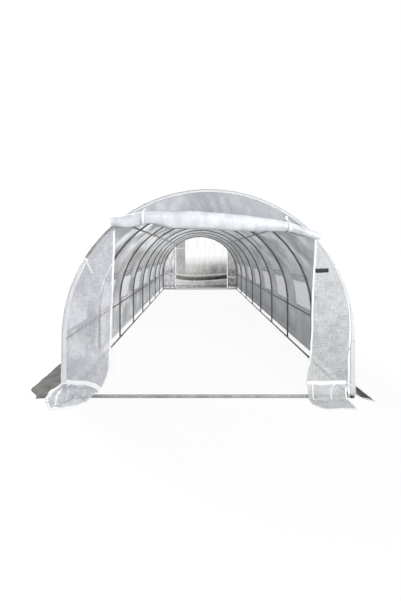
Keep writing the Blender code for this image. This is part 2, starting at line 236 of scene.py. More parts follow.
def wovenFilm(name, look):
    # Polyethylene tapes woven flat and sealed between two clear layers. It glows evenly with the light behind
    # it, shines softly and shows its tapes as a faint crossed grain. Its creases are painted whiter: partly
    # the real whitening of folded film, partly painted highlights where the creases catch the light.
    film = newMaterial(name)
    cut = addNode(film, "TexCoord", out="UV")
    apart = addNode(film, "SeparateXYZ", {"Vector": cut}, None)
    grains = []
    for wide, long in ((look["tape"], look["run"]), (look["run"], look["tape"])):
        scaled = addNode(film, "Mapping", {"Vector": cut, "Scale": (1 / wide, 1 / long, 1)})
        grains.append(addNode(film, "TexNoise", {"Vector": scaled, "Scale": 1.0, "Detail": 2.0,
                                                 "Roughness": 0.6}))
    crossed = addNode(film, "Math", {0: grains[0], 1: grains[1]}, operation="ADD")
    grain = addNode(film, "MapRange", {"Value": crossed, "From Min": 0.80, "From Max": 1.20})
    drawn = addNode(film, "Mapping", {"Vector": cut, "Scale": (1 / look["patch"], 1 / look["patchRun"], 1)})
    patchy = addNode(film, "TexNoise", {"Vector": drawn, "Scale": 1.0, "Detail": 3.0})
    patchy = addNode(film, "MapRange", {"Value": patchy, "From Min": 0.35, "From Max": 0.65})
    both = addNode(film, "Math", {0: grain, 1: look["grainShare"]}, operation="MULTIPLY")
    both = addNode(film, "Math", {0: patchy, 1: 1 - look["grainShare"], 2: both}, operation="MULTIPLY_ADD")
    colour = addNode(film, "MixRGB", {"Fac": both, "Color1": colourOf(look["shade"]),
                                      "Color2": colourOf(look["light"])})
    # painted highlights: crease lines are painted whiter, partly the real whitening of folded film, partly
    # the light the creases catch
    wander = addNode(film, "TexNoise", {"Vector": cut, "Scale": 1 / look["crease"], "Detail": 2.0}, None)
    bent = addNode(film, "VectorMath", {0: wander.outputs["Color"], 1: (0.3 * look["crease"],) * 3, 2: cut},
                   operation="MULTIPLY_ADD")
    facets = addNode(film, "TexVoronoi", {"Vector": bent, "Scale": 1 / look["crease"]}, "Distance",
                     feature="DISTANCE_TO_EDGE")
    creased = addNode(film, "MapRange", {"Value": facets, "From Max": look["creaseWide"] / look["crease"],
                                         "To Min": 1.0, "To Max": 0.0})
    creaseWhiteShare = addNode(film, "MapRange", {"Value": wander.outputs[0], "From Min": 0.46, "From Max": 0.60,
                                      "To Max": look["creaseShare"]})
    creased = addNode(film, "Math", {0: creased, 1: creaseWhiteShare}, operation="MULTIPLY")
    colour = addNode(film, "MixRGB", {"Fac": creased, "Color1": colour, "Color2": colourOf("#FFFFFF")})
    shares = {}   # how much of each purpose a place has, by its metres across (0) and along (1) the sheet
    for purpose in ("dustAndPaintedLight", "glow", "hole"):
        for axis, stops in look.get(purpose, {}).get("along", ()):
            begin, reach = stops[0][0], stops[-1][0] - stops[0][0]
            place = addNode(film, "MapRange", {"Value": apart.outputs[axis], "From Min": begin,
                                               "From Max": begin + reach})
            ramp = addNode(film, "ValToRGB", {"Fac": place}, None)
            points = ramp.color_ramp.elements
            points[0].color, points[1].color = [(end[1],) * 3 + (1,) for end in (stops[0], stops[-1])]
            for where, share in stops[1:-1]:
                points.new((where - begin) / reach).color = (share, share, share, 1)
            shares[purpose] = addNode(film, "Math", {0: ramp.outputs[0], 1: shares.get(purpose, 1.0)},
                                      operation="MULTIPLY")
    under = [colour]   # the dust overlay, partly soiling and partly painted shade and light, colours the film's face and its glow; the glow purpose, painted light behind the film, colours only the glow
    for purpose in ("dustAndPaintedLight", "glow"):
        if purpose in shares:
            tone = look[purpose]
            cloudy = addNode(film, "TexNoise", {"Vector": cut, "Scale": 1 / tone["size"],
                                                "Detail": tone["detail"]})
            cloudy = addNode(film, "MapRange", {"Value": cloudy, "From Min": 0.5 - tone["soft"],
                                                "From Max": 0.5 + tone["soft"]})
            cloudy = addNode(film, "MixRGB", {"Fac": cloudy, "Color1": colourOf(tone["shade"]),
                                              "Color2": colourOf(tone["light"])})
            under.append(addNode(film, "MixRGB", {"Fac": shares[purpose], "Color1": under[-1],
                                                  "Color2": cloudy}))
    colour = under[1] if "dustAndPaintedLight" in shares else colour
    high = addNode(film, "Math", {0: both, 1: creased}, operation="ADD")
    relief = addNode(film, "Bump", {"Height": high, "Strength": look["relief"], "Distance": 0.002})
    shine = addNode(film, "BsdfPrincipled", {"Base Color": colour, "Roughness": look["rough"],
                                             "Normal": relief, "Specular IOR Level": look["gloss"]})
    glow = addNode(film, "BsdfTranslucent", {"Color": under[-1], "Normal": relief})
    lit = addNode(film, "MixShader", {0: look["through"], 1: shine, 2: glow})
    if look["clear"]:
        hole = addNode(film, "BsdfTransparent")
        clear = look["clear"]
        if "hole" in shares:
            clear = addNode(film, "Math", {0: shares["hole"], 1: clear}, operation="MULTIPLY")
        lit = addNode(film, "MixShader", {0: clear, 1: lit, 2: hole})
    addNode(film, "OutputMaterial", {"Surface": lit}, None)
    return film


# The real tape is 2.5 mm wide, too fine for this picture, so the grain is drawn about 5 times coarser
filmLook = {"tape": 0.012, "run": 0.07, "patch": 0.12, "patchRun": 0.18, "grainShare": 0.65,
            "shade": "#BFC1C5", "light": "#EFF0F2", "relief": 0.3, "rough": 0.38, "gloss": 0.5,
            "through": 0.42, "clear": 0.10, "crease": 0.15, "creaseWide": 0.009, "creaseShare": 0.34}
toneLook = {"size": 0.12, "detail": 3.0, "soft": 0.15}
coverFilm = wovenFilm("woven_polyethylene_cover", {
    **filmLook, "clear": 0.03, "patch": 0.34, "patchRun": 0.20, "grainShare": 0.45, "shade": "#C3C5C8",
    "light": "#E3E4E5", "through": 0.52, "rough": 0.6, "gloss": 0.25, "crease": 0.22, "creaseShare": 0.25,
    # darker on the skirts; on the left wall, from 1.30 to 2.62 m round from the ridge, painted shade
    "dustAndPaintedLight": {**toneLook, "shade": "#41403D", "light": "#75716B", "size": 0.11, "detail": 4.0, "along": [
        (0, ((-toePlace - 0.05, 1), (-toePlace + 0.01, 0), (-2.62, 0), (-2.42, 0.34), (-1.45, 0.44),
             (-1.30, 0), (toePlace - 0.01, 0), (toePlace + 0.05, 1)))]},
    # painted light and shade: the light through the film is drawn patchy, bright over the ridge and the left
    # roof, most towards the front, and dimmer on the walls
    "glow": {"shade": "#6F7072", "light": "#FFFFFF", "size": 0.45, "detail": 2.5, "soft": 0.11, "along": [
        (0, ((-2.86, 0), (-2.82, 0.5), (-2.4, 0.7), (-2.1, 0.3), (-1.6, 0.3), (-1.35, 0.45), (-1.0, 0.85),
             (0.3, 1), (0.9, 0.7), (1.6, 0.7), (1.9, 0.2), (2.4, 0.2), (2.82, 0.1), (2.86, 0))),
        (1, ((-4.0, 1), (-1.5, 1), (0.5, 0.45), (4.0, 0.45)))]}})
wallLeftFilm = wovenFilm("woven_polyethylene_end_wall_left", {
    **filmLook, "shade": "#C2C3CA", "light": "#F3F3F8", "clear": 0.50,
    # the middle rail shows through where the film is cleanest
    "hole": {"along": [(1, ((0.60, 0.15), (0.72, 0.9), (1.04, 0.9), (1.16, 0.4)))]},
    # drawn darker over the lower part of the panel
    "dustAndPaintedLight": {**toneLook, "shade": "#A4A7AF", "light": "#D2D4DA", "size": 0.10,
             "along": [(1, ((0.16, 0), (0.26, 0.45), (0.50, 0.4), (0.60, 0)))]}})
wallFilm = wovenFilm("woven_polyethylene_end_wall", {
    **filmLook, "shade": "#BFC1C2", "light": "#EFF1F1", "clear": 0.17})
# painted shade: the header film is a darker copy of the wall film; its left end is painted lighter, as
# painted light
headerFilm = wovenFilm("woven_polyethylene_header", {
    **filmLook, "tape": 0.008, "run": 0.04, "patch": 0.25, "clear": 0.05, "shade": "#A0A2A7",
    "light": "#C3C5CA", "creaseShare": 0.06,
    "dustAndPaintedLight": {**toneLook, "shade": "#C3C5CA", "light": "#E2E4E8",
             "along": [(0, ((-0.45, 0.85), (-0.12, 0)))]}})
doorFilm = wovenFilm("woven_polyethylene_rolled", {
    **filmLook, "shade": "#DADDE2", "light": "#F9FAFC", "through": 0.30, "grainShare": 0.25, "clear": 0.0,
    "relief": 0.12, "creaseShare": 0.12})
sleeveFilm = wovenFilm("woven_polyethylene_doubled", {
    **filmLook, "shade": "#EAECF1", "light": "#FFFFFF", "through": 0.4, "clear": 0.0})
flapFilm = wovenFilm("woven_polyethylene_flap", {
    **filmLook, "shade": "#D9DBDF", "light": "#FBFBFC", "clear": 0.25, "through": 0.7})
rearFilm = wovenFilm("woven_polyethylene_rear_door", {
    **filmLook, "patch": 0.09, "patchRun": 0.7, "grainShare": 0.2, "shade": "#EAE9E7", "light": "#FFFFFC",
    "clear": 0.20, "through": 0.72, "creaseShare": 0.2, "hole": {"along": [(1, ((0.45, 1), (0.95, 0.1)))]},
    # painted shade: darker towards the foot and the right side and in a band across the deep fold; the paler
    # lines at the fold's edges are painted highlights
    "dustAndPaintedLight": {**toneLook, "shade": "#5D5C5A", "light": "#8B8A88", "size": 0.22, "along": [
        (1, ((0, 0), (0.28, 0), (0.50, 0.42), (0.66, 0.86), (0.94, 1), (0.985, 1), (1.01, 0.55),
             (1.045, 0.85), (1.56, 0.85), (1.60, 0.60), (1.66, 0.9), (1.80, 0.85), (1.92, 1), (2.04, 1))),
        (0, ((-0.95, 0.45), (0.10, 0.80), (0.60, 1)))]}})
stormFilm = wovenFilm("woven_polyethylene_storm_flap", {
    **filmLook, "shade": "#F0F0F0", "light": "#FFFFFF", "clear": 0.20, "through": 0.8, "creaseShare": 0.1,
    # drawn darker towards the top of the flap
    "dustAndPaintedLight": {**toneLook, "shade": "#707071", "light": "#98989A", "size": 0.2, "detail": 2.0,
             "along": [(1, ((-0.30, 1), (0.40, 1), (0.90, 0.2)))]}})
rearSide = {**filmLook, "patch": 0.10, "patchRun": 0.35, "grainShare": 0.3, "shade": "#A9A8AA",
            "light": "#F3F3F2", "clear": 0.10, "through": 0.6}
rearSideFilm = wovenFilm("woven_polyethylene_rear_side", {
    # painted shade: a darker band across the panel at the height of the door's deep fold
    **rearSide, "dustAndPaintedLight": {**toneLook, "shade": "#7C7982", "light": "#C6C3CA", "size": 0.09, "along": [
        (1, ((0.30, 0.6), (0.66, 0.45), (0.76, 1), (0.92, 1), (1.02, 0.35), (1.25, 0)))]}})
rearShadedSideFilm = wovenFilm("woven_polyethylene_rear_side_painted_shade", {
    # painted shade: dark bands low on the right rear panel, where dark ground lies behind the film
    **rearSide, "dustAndPaintedLight": {**toneLook, "shade": "#453F3D", "light": "#857E7C", "along": [
        (1, ((0.22, 0.3), (0.30, 1), (0.56, 1), (0.63, 0.5), (0.70, 1), (0.88, 1), (1.00, 0.7), (1.45, 0.45),
             (1.70, 0)))]}})
waveTurn = 6.3   # a wave of scale 1 / (6.3 x size) repeats each 2 x size, or 2.8 x size on the diagonal


def wovenTape(name, look):
    # Polyester webbing woven flat: matt, close and a touch brighter than the film, with slanting ribs
    tape = newMaterial(name)
    cut = addNode(tape, "TexCoord", out="UV")
    ribs = addNode(tape, "TexWave", {"Vector": cut, "Scale": 1 / (look["rib"] * waveTurn), "Distortion": 1.5,
                                     "Detail": 2.0}, "Fac", bands_direction="DIAGONAL")
    colour = addNode(tape, "MixRGB", {"Fac": ribs, "Color1": colourOf(look["shade"]),
                                      "Color2": colourOf(look["light"])})
    relief = addNode(tape, "Bump", {"Height": ribs, "Strength": 0.4, "Distance": 0.0008})
    cloth = addNode(tape, "BsdfPrincipled", {"Base Color": colour, "Roughness": look["rough"],
                                             "Normal": relief})
    glow = addNode(tape, "BsdfTranslucent", {"Color": colour, "Normal": relief})
    lit = addNode(tape, "MixShader", {0: look["through"], 1: cloth, 2: glow})
    addNode(tape, "OutputMaterial", {"Surface": lit}, None)
    return tape


# The real ribs are 1 mm apart. These lie 11 mm apart, eleven times coarser, to show at all.
tapeLook = {"rib": 0.004, "rough": 0.75}
whiteTape = wovenTape("white_polyester_binding", {
    **tapeLook, "shade": "#FBFCFD", "light": "#FFFFFF", "through": 0.12})
# painted shade: the piping is grey where the hoop behind the film's edge shows darker
shadedPipingCord = wovenTape("polyester_piping_painted_shade", {
    **tapeLook, "shade": "#9A9DA4", "light": "#B3B6BC", "through": 0.2})
thinTape = wovenTape("white_polyester_ribbon", {
    **tapeLook, "shade": "#F4F5F6", "light": "#FFFFFF", "through": 0.82})
strapTape = wovenTape("white_polyester_webbing", {
    **tapeLook, "shade": "#DEEAEA", "light": "#F8FCFC", "rough": 0.7, "through": 0.1})
tabTape = wovenTape("navy_satin_woven_tab", {
    "rib": 0.002, "rough": 0.6, "shade": "#070A14", "light": "#101727", "through": 0.0})


def insectMesh(name, look):
    # Knitted polyethylene netting: half of it is holes, so it looks like a bright even haze
    net = newMaterial(name)
    cut = addNode(net, "TexCoord", out="UV")
    lines = []
    for direction in ("X", "Y"):
        wave = addNode(net, "TexWave", {"Vector": cut, "Scale": 1 / (look["mesh"] * waveTurn)}, "Fac",
                       bands_direction=direction)
        lines.append(addNode(net, "MapRange", {"Value": wave, "From Min": 0.55, "From Max": 0.9}))
    thread = addNode(net, "Math", {0: lines[0], 1: lines[1]}, operation="MAXIMUM")
    colour = addNode(net, "MixRGB", {"Fac": thread, "Color1": colourOf(look["shade"]),
                                     "Color2": colourOf(look["light"])})
    yarn = addNode(net, "BsdfPrincipled", {"Base Color": colour, "Roughness": look["rough"]})
    glow = addNode(net, "BsdfTranslucent", {"Color": colour})
    lit = addNode(net, "MixShader", {0: look["through"], 1: yarn, 2: glow})
    lit = addNode(net, "MixShader", {0: look["clear"], 1: lit, 2: addNode(net, "BsdfTransparent")})
    addNode(net, "OutputMaterial", {"Surface": lit}, None)
    return net


# The real mesh is 1.5 mm, drawn as 30 mm, twenty times coarser. The right screens are painted paler than the
# left ones, as painted light, and drawn clearer.
netLook = {"mesh": 0.015, "shade": "#B6B8BE", "light": "#F8F9FC", "rough": 0.6, "through": 0.5, "clear": 0.14}
windowNets = {
    "left": insectMesh("darker_insect_netting", netLook),
    "right": insectMesh("knitted_insect_netting",
                        {**netLook, "shade": "#D2D2DA", "light": "#FFFFFF", "clear": 0.22}),
}


def galvanised(name, look):
    # Roll-formed steel tube, hot-dip galvanised: dull grey with cloudy spangle and soft highlights
    steel = newMaterial(name)
    place = addNode(steel, "TexCoord", out="Object")
    spangle = addNode(steel, "TexVoronoi", {"Vector": place, "Scale": 1 / look["spangle"]}, "Color")
    grey = addNode(steel, "SeparateColor", {"Color": spangle})
    haze = addNode(steel, "TexNoise", {"Vector": place, "Scale": 1 / 0.15, "Detail": 3.0})   # 150 mm clouds
    mixed = addNode(steel, "Math", {0: grey, 1: 0.4, 2: haze}, operation="MULTIPLY_ADD")
    mixed = addNode(steel, "MapRange", {"Value": mixed, "From Min": 0.35})
    colour = addNode(steel, "MixRGB", {"Fac": mixed, "Color1": colourOf(look["dark"]),
                                       "Color2": colourOf(look["light"])})
    rough = addNode(steel, "MapRange", {"Value": mixed, "To Min": look["smooth"], "To Max": look["rough"]})
    metal = addNode(steel, "BsdfPrincipled", {"Base Color": colour, "Metallic": look["metallic"],
                                              "Roughness": rough})
    addNode(steel, "OutputMaterial", {"Surface": metal}, None)
    return steel


tubeSteel = galvanised("galvanised_steel_tube", {
    "spangle": 0.012, "dark": "#6F6F6E", "light": "#999A98", "metallic": 1.0, "smooth": 0.34, "rough": 0.5})
# The sill and the first arch get a paler, more matt copy of the steel: painted light, for the full light they
# stand in
paleLitSteel = galvanised("galvanised_steel_tube_painted_light", {
    "spangle": 0.012, "dark": "#858786", "light": "#B9BAB8", "metallic": 0.25, "smooth": 0.5, "rough": 0.65})
boltSteel = galvanised("zinc_plated_steel_bolt", {
    "spangle": 0.004, "dark": "#7E8184", "light": "#A4A7AA", "metallic": 1.0, "smooth": 0.25, "rough": 0.4})


def mouldedNylon(name, look):
    # Injection-moulded nylon: slightly creamy white, half matt, with a faint skin
    nylon = newMaterial(name)
    place = addNode(nylon, "TexCoord", out="Object")
    skin = addNode(nylon, "TexNoise", {"Vector": place, "Scale": 1 / look["skin"], "Detail": 2.0})
    colour = addNode(nylon, "MixRGB", {"Fac": skin, "Color1": colourOf(look["shade"]),
                                       "Color2": colourOf(look["light"])})
    relief = addNode(nylon, "Bump", {"Height": skin, "Strength": 0.1, "Distance": 0.0003})
    body = addNode(nylon, "BsdfPrincipled", {"Base Color": colour, "Roughness": look["rough"], "IOR": 1.53,
                                             "Normal": relief})
    addNode(nylon, "OutputMaterial", {"Surface": body}, None)
    return nylon


zipNylon = mouldedNylon("moulded_white_nylon",
                        {"skin": 0.003, "shade": "#DCDCDA", "light": "#F2F2EF", "rough": 0.42})
print("materials made")


# The film cover over the hoops

skirtForm = {
    "leftWider": 0.035,                   # the left skirt reaches this much further out
    "toeDrawn": (0.06, -4.0, -3.3),       # at the front the skirts are drawn in: how much, and from where
    "leftDrawn": (0.19, -4.01, -3.82),    # to where along the tunnel it ends
    "rightDrawn": (0.28, -3.75, -2.9),
    # their front corners are pulled forward this much, over this stretch
    "forward": {"left": 0.02, "right": 0.08}, "forwardOver": (-4.02, -3.8),
    "waves": ((0.016, 7.0, 0.5, 3), (0.006, 9.0, 0.12, 4)),
    "rumple": 0.010, "rumpleSize": 0.16,
}


def hoopHold(y):   # 0 on a hoop, 1 where the film hangs free
    near = np.min([np.abs(y - place) for place in hoopPlaces], axis=0)
    return fade(near, 0.012, tunnel["hoopHold"])


def skirtShape(side, y):   # how far out the skirt meets the ground and how far it reaches, by place
    toeIn, leftIn, rightIn = (much * (1 - fade(y, start, end)) for much, start, end in (
        skirtForm["toeDrawn"], skirtForm["leftDrawn"], skirtForm["rightDrawn"]))
    wave = sum(high * cloud(y, side * apart, size, seed) for high, apart, size, seed in skirtForm["waves"])
    reach = tunnel["skirtReach"] + np.where(side > 0, -rightIn, skirtForm["leftWider"] - leftIn)
    return tunnel["skirtToe"] - np.where(side > 0, toeIn, 0), reach + wave


def coverAt(s, y, lift=0.0):
    # The film s metres from the ridge, right positive, y metres along, lifted outwards by lift
    s, y = np.broadcast_arrays(np.asarray(s, float), np.asarray(y, float))
    side = np.where(s < 0, -1.0, 1.0)
    t = np.abs(s)
    angle = np.clip(t, 0, quarter) / skinRadius
    toe, reach = skirtShape(side, y)
    drop = np.clip((t - wallEnd) / tunnel["skirtDrop"], 0, 1) * math.pi / 2
    rest = np.clip((t - toePlace) / tunnel["skirtRest"], 0, 1)
    x = skinRadius * np.sin(angle) + toe * (1 - np.cos(drop)) + (reach - toe) * rest
    z = springHeight + skinRadius * np.cos(angle) - np.clip(t - quarter, 0, wallEnd - quarter)
    z = z - (tunnel["seamHeight"] - tunnel["layFlat"]) * np.sin(drop)
    skirt = fade(t, wallEnd, wallEnd + 0.1)
    out, up = (np.where(skirt > 0, low, high) for low, high in (
        (np.cos(drop), np.sin(angle)), (np.sin(drop), np.cos(angle))))
    belly = np.sin(math.pi * (y - hoopPlaces[0]) / bay) ** 2 * (t <= quarter * 1.6)
    roof = 1 - fade(t, quarter * 0.55, quarter * 0.85)
    sag = (tunnel["wallSag"] + (tunnel["roofSag"] - tunnel["wallSag"]) * roof) * belly
    folds = foldsOf(t * side, y, tunnel["creases"], tunnel["streaks"])
    bump = hoopHold(y) * (folds - sag) * (1 - skirt) + lift
    rumple = np.clip(crumple(t, y + side * 3, skirtForm["rumpleSize"], 51) + 0.15, 0, 1)
    z = z + skirt * skirtForm["rumple"] * rumple * fade(t, wallEnd, skirtEnd)
    forward = np.where(side > 0, skirtForm["forward"]["right"], skirtForm["forward"]["left"])
    forward = forward * rest * (1 - fade(y, *skirtForm["forwardOver"]))
    return pointsOf(side * (x + out * bump), y - forward, z + up * bump)


window = {
    "high": 1.061, "low": 0.661, "start": 0.02, "long": 0.58,
    "frame": 0.012,            # the bound edge
    "lap": 0.008,              # the screen reaches this far behind it
    "belly": 0.006,            # how far the screen sags at its middle
    "pad": 0.022, "padDrop": 0.035, "padShares": (0.22, 0.78),   # fasteners below each window
}
binding = {"outer": 0.019, "lining": 0.012, "inner": 0.006, "lift": 0.0012, "thick": 0.0008}


def pathAt(height):   # metres of film from the ridge down to a height on the arch
    return skinRadius * (math.pi / 2 - math.asin((height - springHeight) / skinRadius))


windowTop, windowFoot = pathAt(window["high"]), pathAt(window["low"])


def makeCover():
    top, foot = windowTop - window["frame"], windowFoot + window["frame"]
    start, end = window["start"] - window["frame"], window["start"] + window["long"] + window["frame"]
    half = stations([0, top, foot, quarter, wallEnd, toePlace, skirtEnd], tunnel["grid"])
    s = np.concatenate([-half[::-1], half[1:]])
    marks = [place + side for place in hoopPlaces[:-1] for side in (start, end)]
    y = stations([-wallPlace - 0.002, *marks, wallPlace + 0.002], tunnel["grid"])
    place = coverAt(s[:, None], y[None, :])
    midS = np.abs((s[1:] + s[:-1]) / 2)[:, None]
    midY = (((y[1:] + y[:-1]) / 2 - hoopPlaces[0]) % bay)[None, :]
    opening = (midS > top) & (midS < foot) & (midY > start) & (midY < end)
    piece = makePiece("cover_film", [patchOf(place, (s[:, None], y[None, :]), ~opening)], coverFilm,
                      "frame_and_cover")
    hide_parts("cover")


makeCover()


def coverStrip(sFrom, sTo, yFrom, yTo, lift, spacing=0.05):
    s, y = stations([sFrom, sTo], spacing), stations([yFrom, yTo], spacing)
    return patchOf(coverAt(s[:, None], y[None, :], lift), (s[:, None], y[None, :]))


def sewOn(name, patches, material, thick=binding["thick"]):   # webbing on the cover or the end walls
    makePiece(name, patches, material, "frame_and_cover", thick)


def boundEdge(top, foot, near, far, outer, lift):   # four strips round an opening
    inner = binding["inner"]
    edges = [(s0, s1, near - outer, far + outer)
             for s0, s1 in ((top - outer, top + inner), (foot - inner, foot + outer))]
    edges += [(top + inner, foot - inner, y0, y1)
              for y0, y1 in ((near - outer, near + inner), (far - inner, far + outer))]
    return [coverStrip(*edge, lift) for edge in edges]


def makeWindows():
    lap, pad = window["lap"], window["pad"] / 2
    for hand, side in hands:
        tapes, linings, pads = [], [], []
        top, foot = sorted((side * windowTop, side * windowFoot))
        below = side * (windowFoot + window["padDrop"])
        for number, hoop in enumerate(hoopPlaces[:-1], 1):
            near, far = hoop + window["start"], hoop + window["start"] + window["long"]
            s = stations([top - lap, foot + lap], 0.05)[:, None]
            y = stations([near - lap, far + lap], 0.05)[None, :]
            belly = np.sin(math.pi * (s - top) / (foot - top)) * np.sin(math.pi * (y - near) / (far - near))
            sag = -0.002 - window["belly"] * np.clip(belly, 0, 1)
            screen = makePiece(f"window_screen_{hand}_{number}", [patchOf(coverAt(s, y, sag), (s, y))],
                               windowNets[hand], "frame_and_cover")
            tapes += boundEdge(top, foot, near, far, binding["outer"], binding["lift"])
            linings += boundEdge(top, foot, near, far, binding["lining"], -binding["lift"])
            for spot in (near + share * window["long"] for share in window["padShares"]):
                pads.append(coverStrip(below - pad, below + pad, spot - pad, spot + pad, binding["lift"]))
        sewOn(f"window_bindings_{hand}", tapes, thinTape)
        sewOn(f"window_linings_{hand}", linings, whiteTape)
        sewOn(f"window_fasteners_{hand}", pads, thinTape)


makeWindows()

coverSeams = {
    # place from the ridge, half width and lift of each tape that runs along both sides
    "along": ((wallEnd, 0.014, 0.0015), (wallEnd, 0.014, -0.0012), (toePlace, 0.012, 0.002),
              (skirtEnd - 0.010, 0.010, 0.0015)),
    "end": 0.012, "endLift": 0.002,                        # half width of the skirts' end tapes
    "joins": ((1, 0.66), (3, 0.80), (5, 0.72)), "join": 0.009,   # the bay and how far into it
}


def makeCoverSeams():
    tapes, end = [], coverSeams["end"]
    for hand, side in hands:
        for place, half, lift in coverSeams["along"]:
            tapes.append(coverStrip(side * place - half, side * place + half, -wallPlace, wallPlace, lift))
        seam, hem = sorted((side * wallEnd, side * skirtEnd))
        # none is seen at the front left
        for place in (wallPlace - end, end - wallPlace)[:1 if side < 0 else 2]:
            tapes.append(coverStrip(seam, hem, place - end, place + end, coverSeams["endLift"], 0.03))
    sewOn("cover_seam_tapes", tapes, whiteTape)
    joins = [hoopPlaces[hoop] + into for hoop, into in coverSeams["joins"]]
    half = coverSeams["join"]
    sewOn("cover_width_joins", [coverStrip(-wallEnd, wallEnd, place - half, place + half, binding["lift"])
                                for place in joins], thinTape)


makeCoverSeams()
print("cover, windows and seams made")


# Window flaps, each rolled up above its window

flap = {
    "radius": 0.0102, "core": 0.0040, "turns": 9, "steps": 10, "rings": 18,
    "trim": 0.004,             # the film ends this far inside the solid roll
    "tuck": 0.35, "tuckOver": 0.07,   # the roll is this much thinner at its ends, over this length
    "clear": 0.0034,           # the roll rests this far out of the film, on the tapes
    "seamUp": 0.018, "seam": 0.006, "seamLift": 0.0024,
    "lining": 0.020, "liningLift": -0.0014,   # a ribbon inside backs the film where the roll rests
    "curtainRows": 12, "curtainLong": 0.46,
    "tieShares": (0.25, 0.75), "tieWide": 0.018, "tieLoose": 1.07,
}


def flapPlace(hand, number):
    # The roll's box and middle, its angle and distance on the arch, and how far in it rests on the tapes
    low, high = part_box(f"window_flap_{hand}_{number}")
    centre = (low + high) / 2
    slope = math.atan2(centre.z - springHeight, abs(centre.x))
    arm = math.hypot(centre.x, centre.z - springHeight)
    return low, high, centre, slope, arm, arm - skinRadius - flap["clear"] - flap["radius"]


def makeFlap(hand, side, number):
    # The sheet leaves the roll at its inner face, going up, so its turns start there
    low, high, centre, slope, arm, sink = flapPlace(hand, number)
    outline = np.linspace(0, wholeTurn * flap["turns"], flap["turns"] * flap["steps"] + 1)[None, :]
    y = np.linspace(low.y + flap["trim"], high.y - flap["trim"], flap["rings"])[:, None]
    radius = flap["radius"] + (flap["core"] - flap["radius"]) * outline / outline.max()
    tuck = 1 - flap["tuck"] * (1 - fade(np.minimum(y - low.y, high.y - y), 0.0, flap["tuckOver"]))
    reach = radius * tuck * (1 + 0.05 * cloud(y + number * 3, outline * 0.05, 0.12, 60 + number))
    turn = slope + math.pi - outline
    slide = 0.004 * cloud(outline, y * 0 + number, 1.5, 70) * np.sign(y - centre.y)
    slide = slide * fade(np.abs(y - centre.y), 0.22, 0.3)
    lean = flap["radius"] * (1 - tuck) + sink
    x = abs(centre.x) + reach * np.cos(turn) - lean * math.cos(slope)
    z = centre.z + reach * np.sin(turn) - lean * math.sin(slope)
    cut = np.cumsum(np.r_[0, radius[0, 1:] * np.diff(outline[0])])
    piece = makePiece(f"flap_roll_{hand}_{number}",
                      [patchOf(pointsOf(side * x, y + slide, z), (y, cut[None, :]))],
                      flapFilm, f"flap_{hand}_{number}")
    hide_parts(f"window_flap_{hand}_{number}")
    makeFlapCurtain(hand, side, number, y.T)


def makeFlapCurtain(hand, side, number, y):
    # The flap's film between its seam and its roll: a narrow strip
    low, high, centre, slope, arm, sink = flapPlace(hand, number)
    radius = arm - sink - flap["radius"] - 0.0004
    rows = np.linspace(0, 1, flap["curtainRows"])[:, None]
    seam = slope + (flap["radius"] + flap["seamUp"]) / arm
    angle = seam + (slope - seam) * rows
    reach = radius - 0.0015 * cloud(y, rows * 3, 0.15, 80 + number)
    place = pointsOf(side * reach * np.cos(angle), y, springHeight + reach * np.sin(angle))
    curtain = makePiece(f"flap_curtain_{hand}_{number}", [patchOf(place, (y, rows * flap["curtainLong"]))],
                        flapFilm, None)
    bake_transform(curtain)


def makeFlapTie(hand, side, number, share, name):
    low, high, centre, slope, arm, sink = flapPlace(hand, number)
    turn, radius = np.linspace(0, wholeTurn, 17)[:, None], flap["radius"] * flap["tieLoose"]
    y = low.y + share * (high.y - low.y) + np.array([[-0.5, 0.5]]) * flap["tieWide"]
    x = abs(centre.x) - sink * math.cos(slope) + radius * np.cos(turn)
    z = centre.z - sink * math.sin(slope) + radius * np.sin(turn)
    makePiece(name, [patchOf(pointsOf(side * x, y, z), (turn * radius, y))], whiteTape,
              f"flap_{hand}_{number}",
              binding["thick"])


def makeFlapSeams(hand, side):
    tapes = []
    for number in hoopNumbers[:-1]:
        low, high, centre, slope, arm, sink = flapPlace(hand, number)
        rest = (math.pi / 2 - slope) * skinRadius
        seam = rest - flap["radius"] - flap["seamUp"] - flap["seam"]
        for place, half, lift in ((seam, flap["seam"], flap["seamLift"]),
                                  (rest, flap["lining"], flap["liningLift"])):
            tapes.append(coverStrip(side * place - half, side * place + half, low.y, high.y, lift))
    return tapes


for handName, handSide in hands:
    for flapNumber in hoopNumbers[:-1]:
        makeFlap(handName, handSide, flapNumber)
    for tieNumber in range(16):
        makeFlapTie(handName, handSide, tieNumber // 2 + 1, flap["tieShares"][tieNumber % 2],
                    f"flap_tie_{handName}_{tieNumber + 1}")
sewOn("flap_seam_tapes", makeFlapSeams("left", -1) + makeFlapSeams("right", 1), whiteTape)
print("flaps made")


# End walls

endWall = {
    "radius": hoopRadius + tubeSize / 2,
    "bareFrom": math.radians(131.8), "bareTo": math.radians(147.5),   # where the front hoop shows
    "bareBack": 0.034,         # how far the film is pulled back there
    "frontSlant": 0.09,        # the front door hangs this much higher at its left
    "ride": 0.0009,            # the film's middle lies this far out of the CAD face
    "rollRoom": 0.009,         # beside a doorway the film's folds stand no further out
    "creases": ((0.009, 0.45, 0), (0.0022, 0.12, 3)),           # height, size and place in the row of seeds
    "streaks": ((0.0075, 0.07, 0.6, 1), (0.0055, 0.05, 0.45, 2)),   # height, width, length and place there
}
frontHead = {"left": doorHigh.z + 0.0003 + endWall["frontSlant"], "right": doorHigh.z + 0.0003}


def edgeAt(z):   # half width of the end wall at a height
    rise = np.clip(z - springHeight, 0, endWall["radius"])
    return np.sqrt(endWall["radius"] ** 2 - rise**2)


def archAt(x):   # height of the end wall's rim over a place
    return springHeight + np.sqrt(np.clip(endWall["radius"] ** 2 - np.asarray(x) ** 2, 0, None))


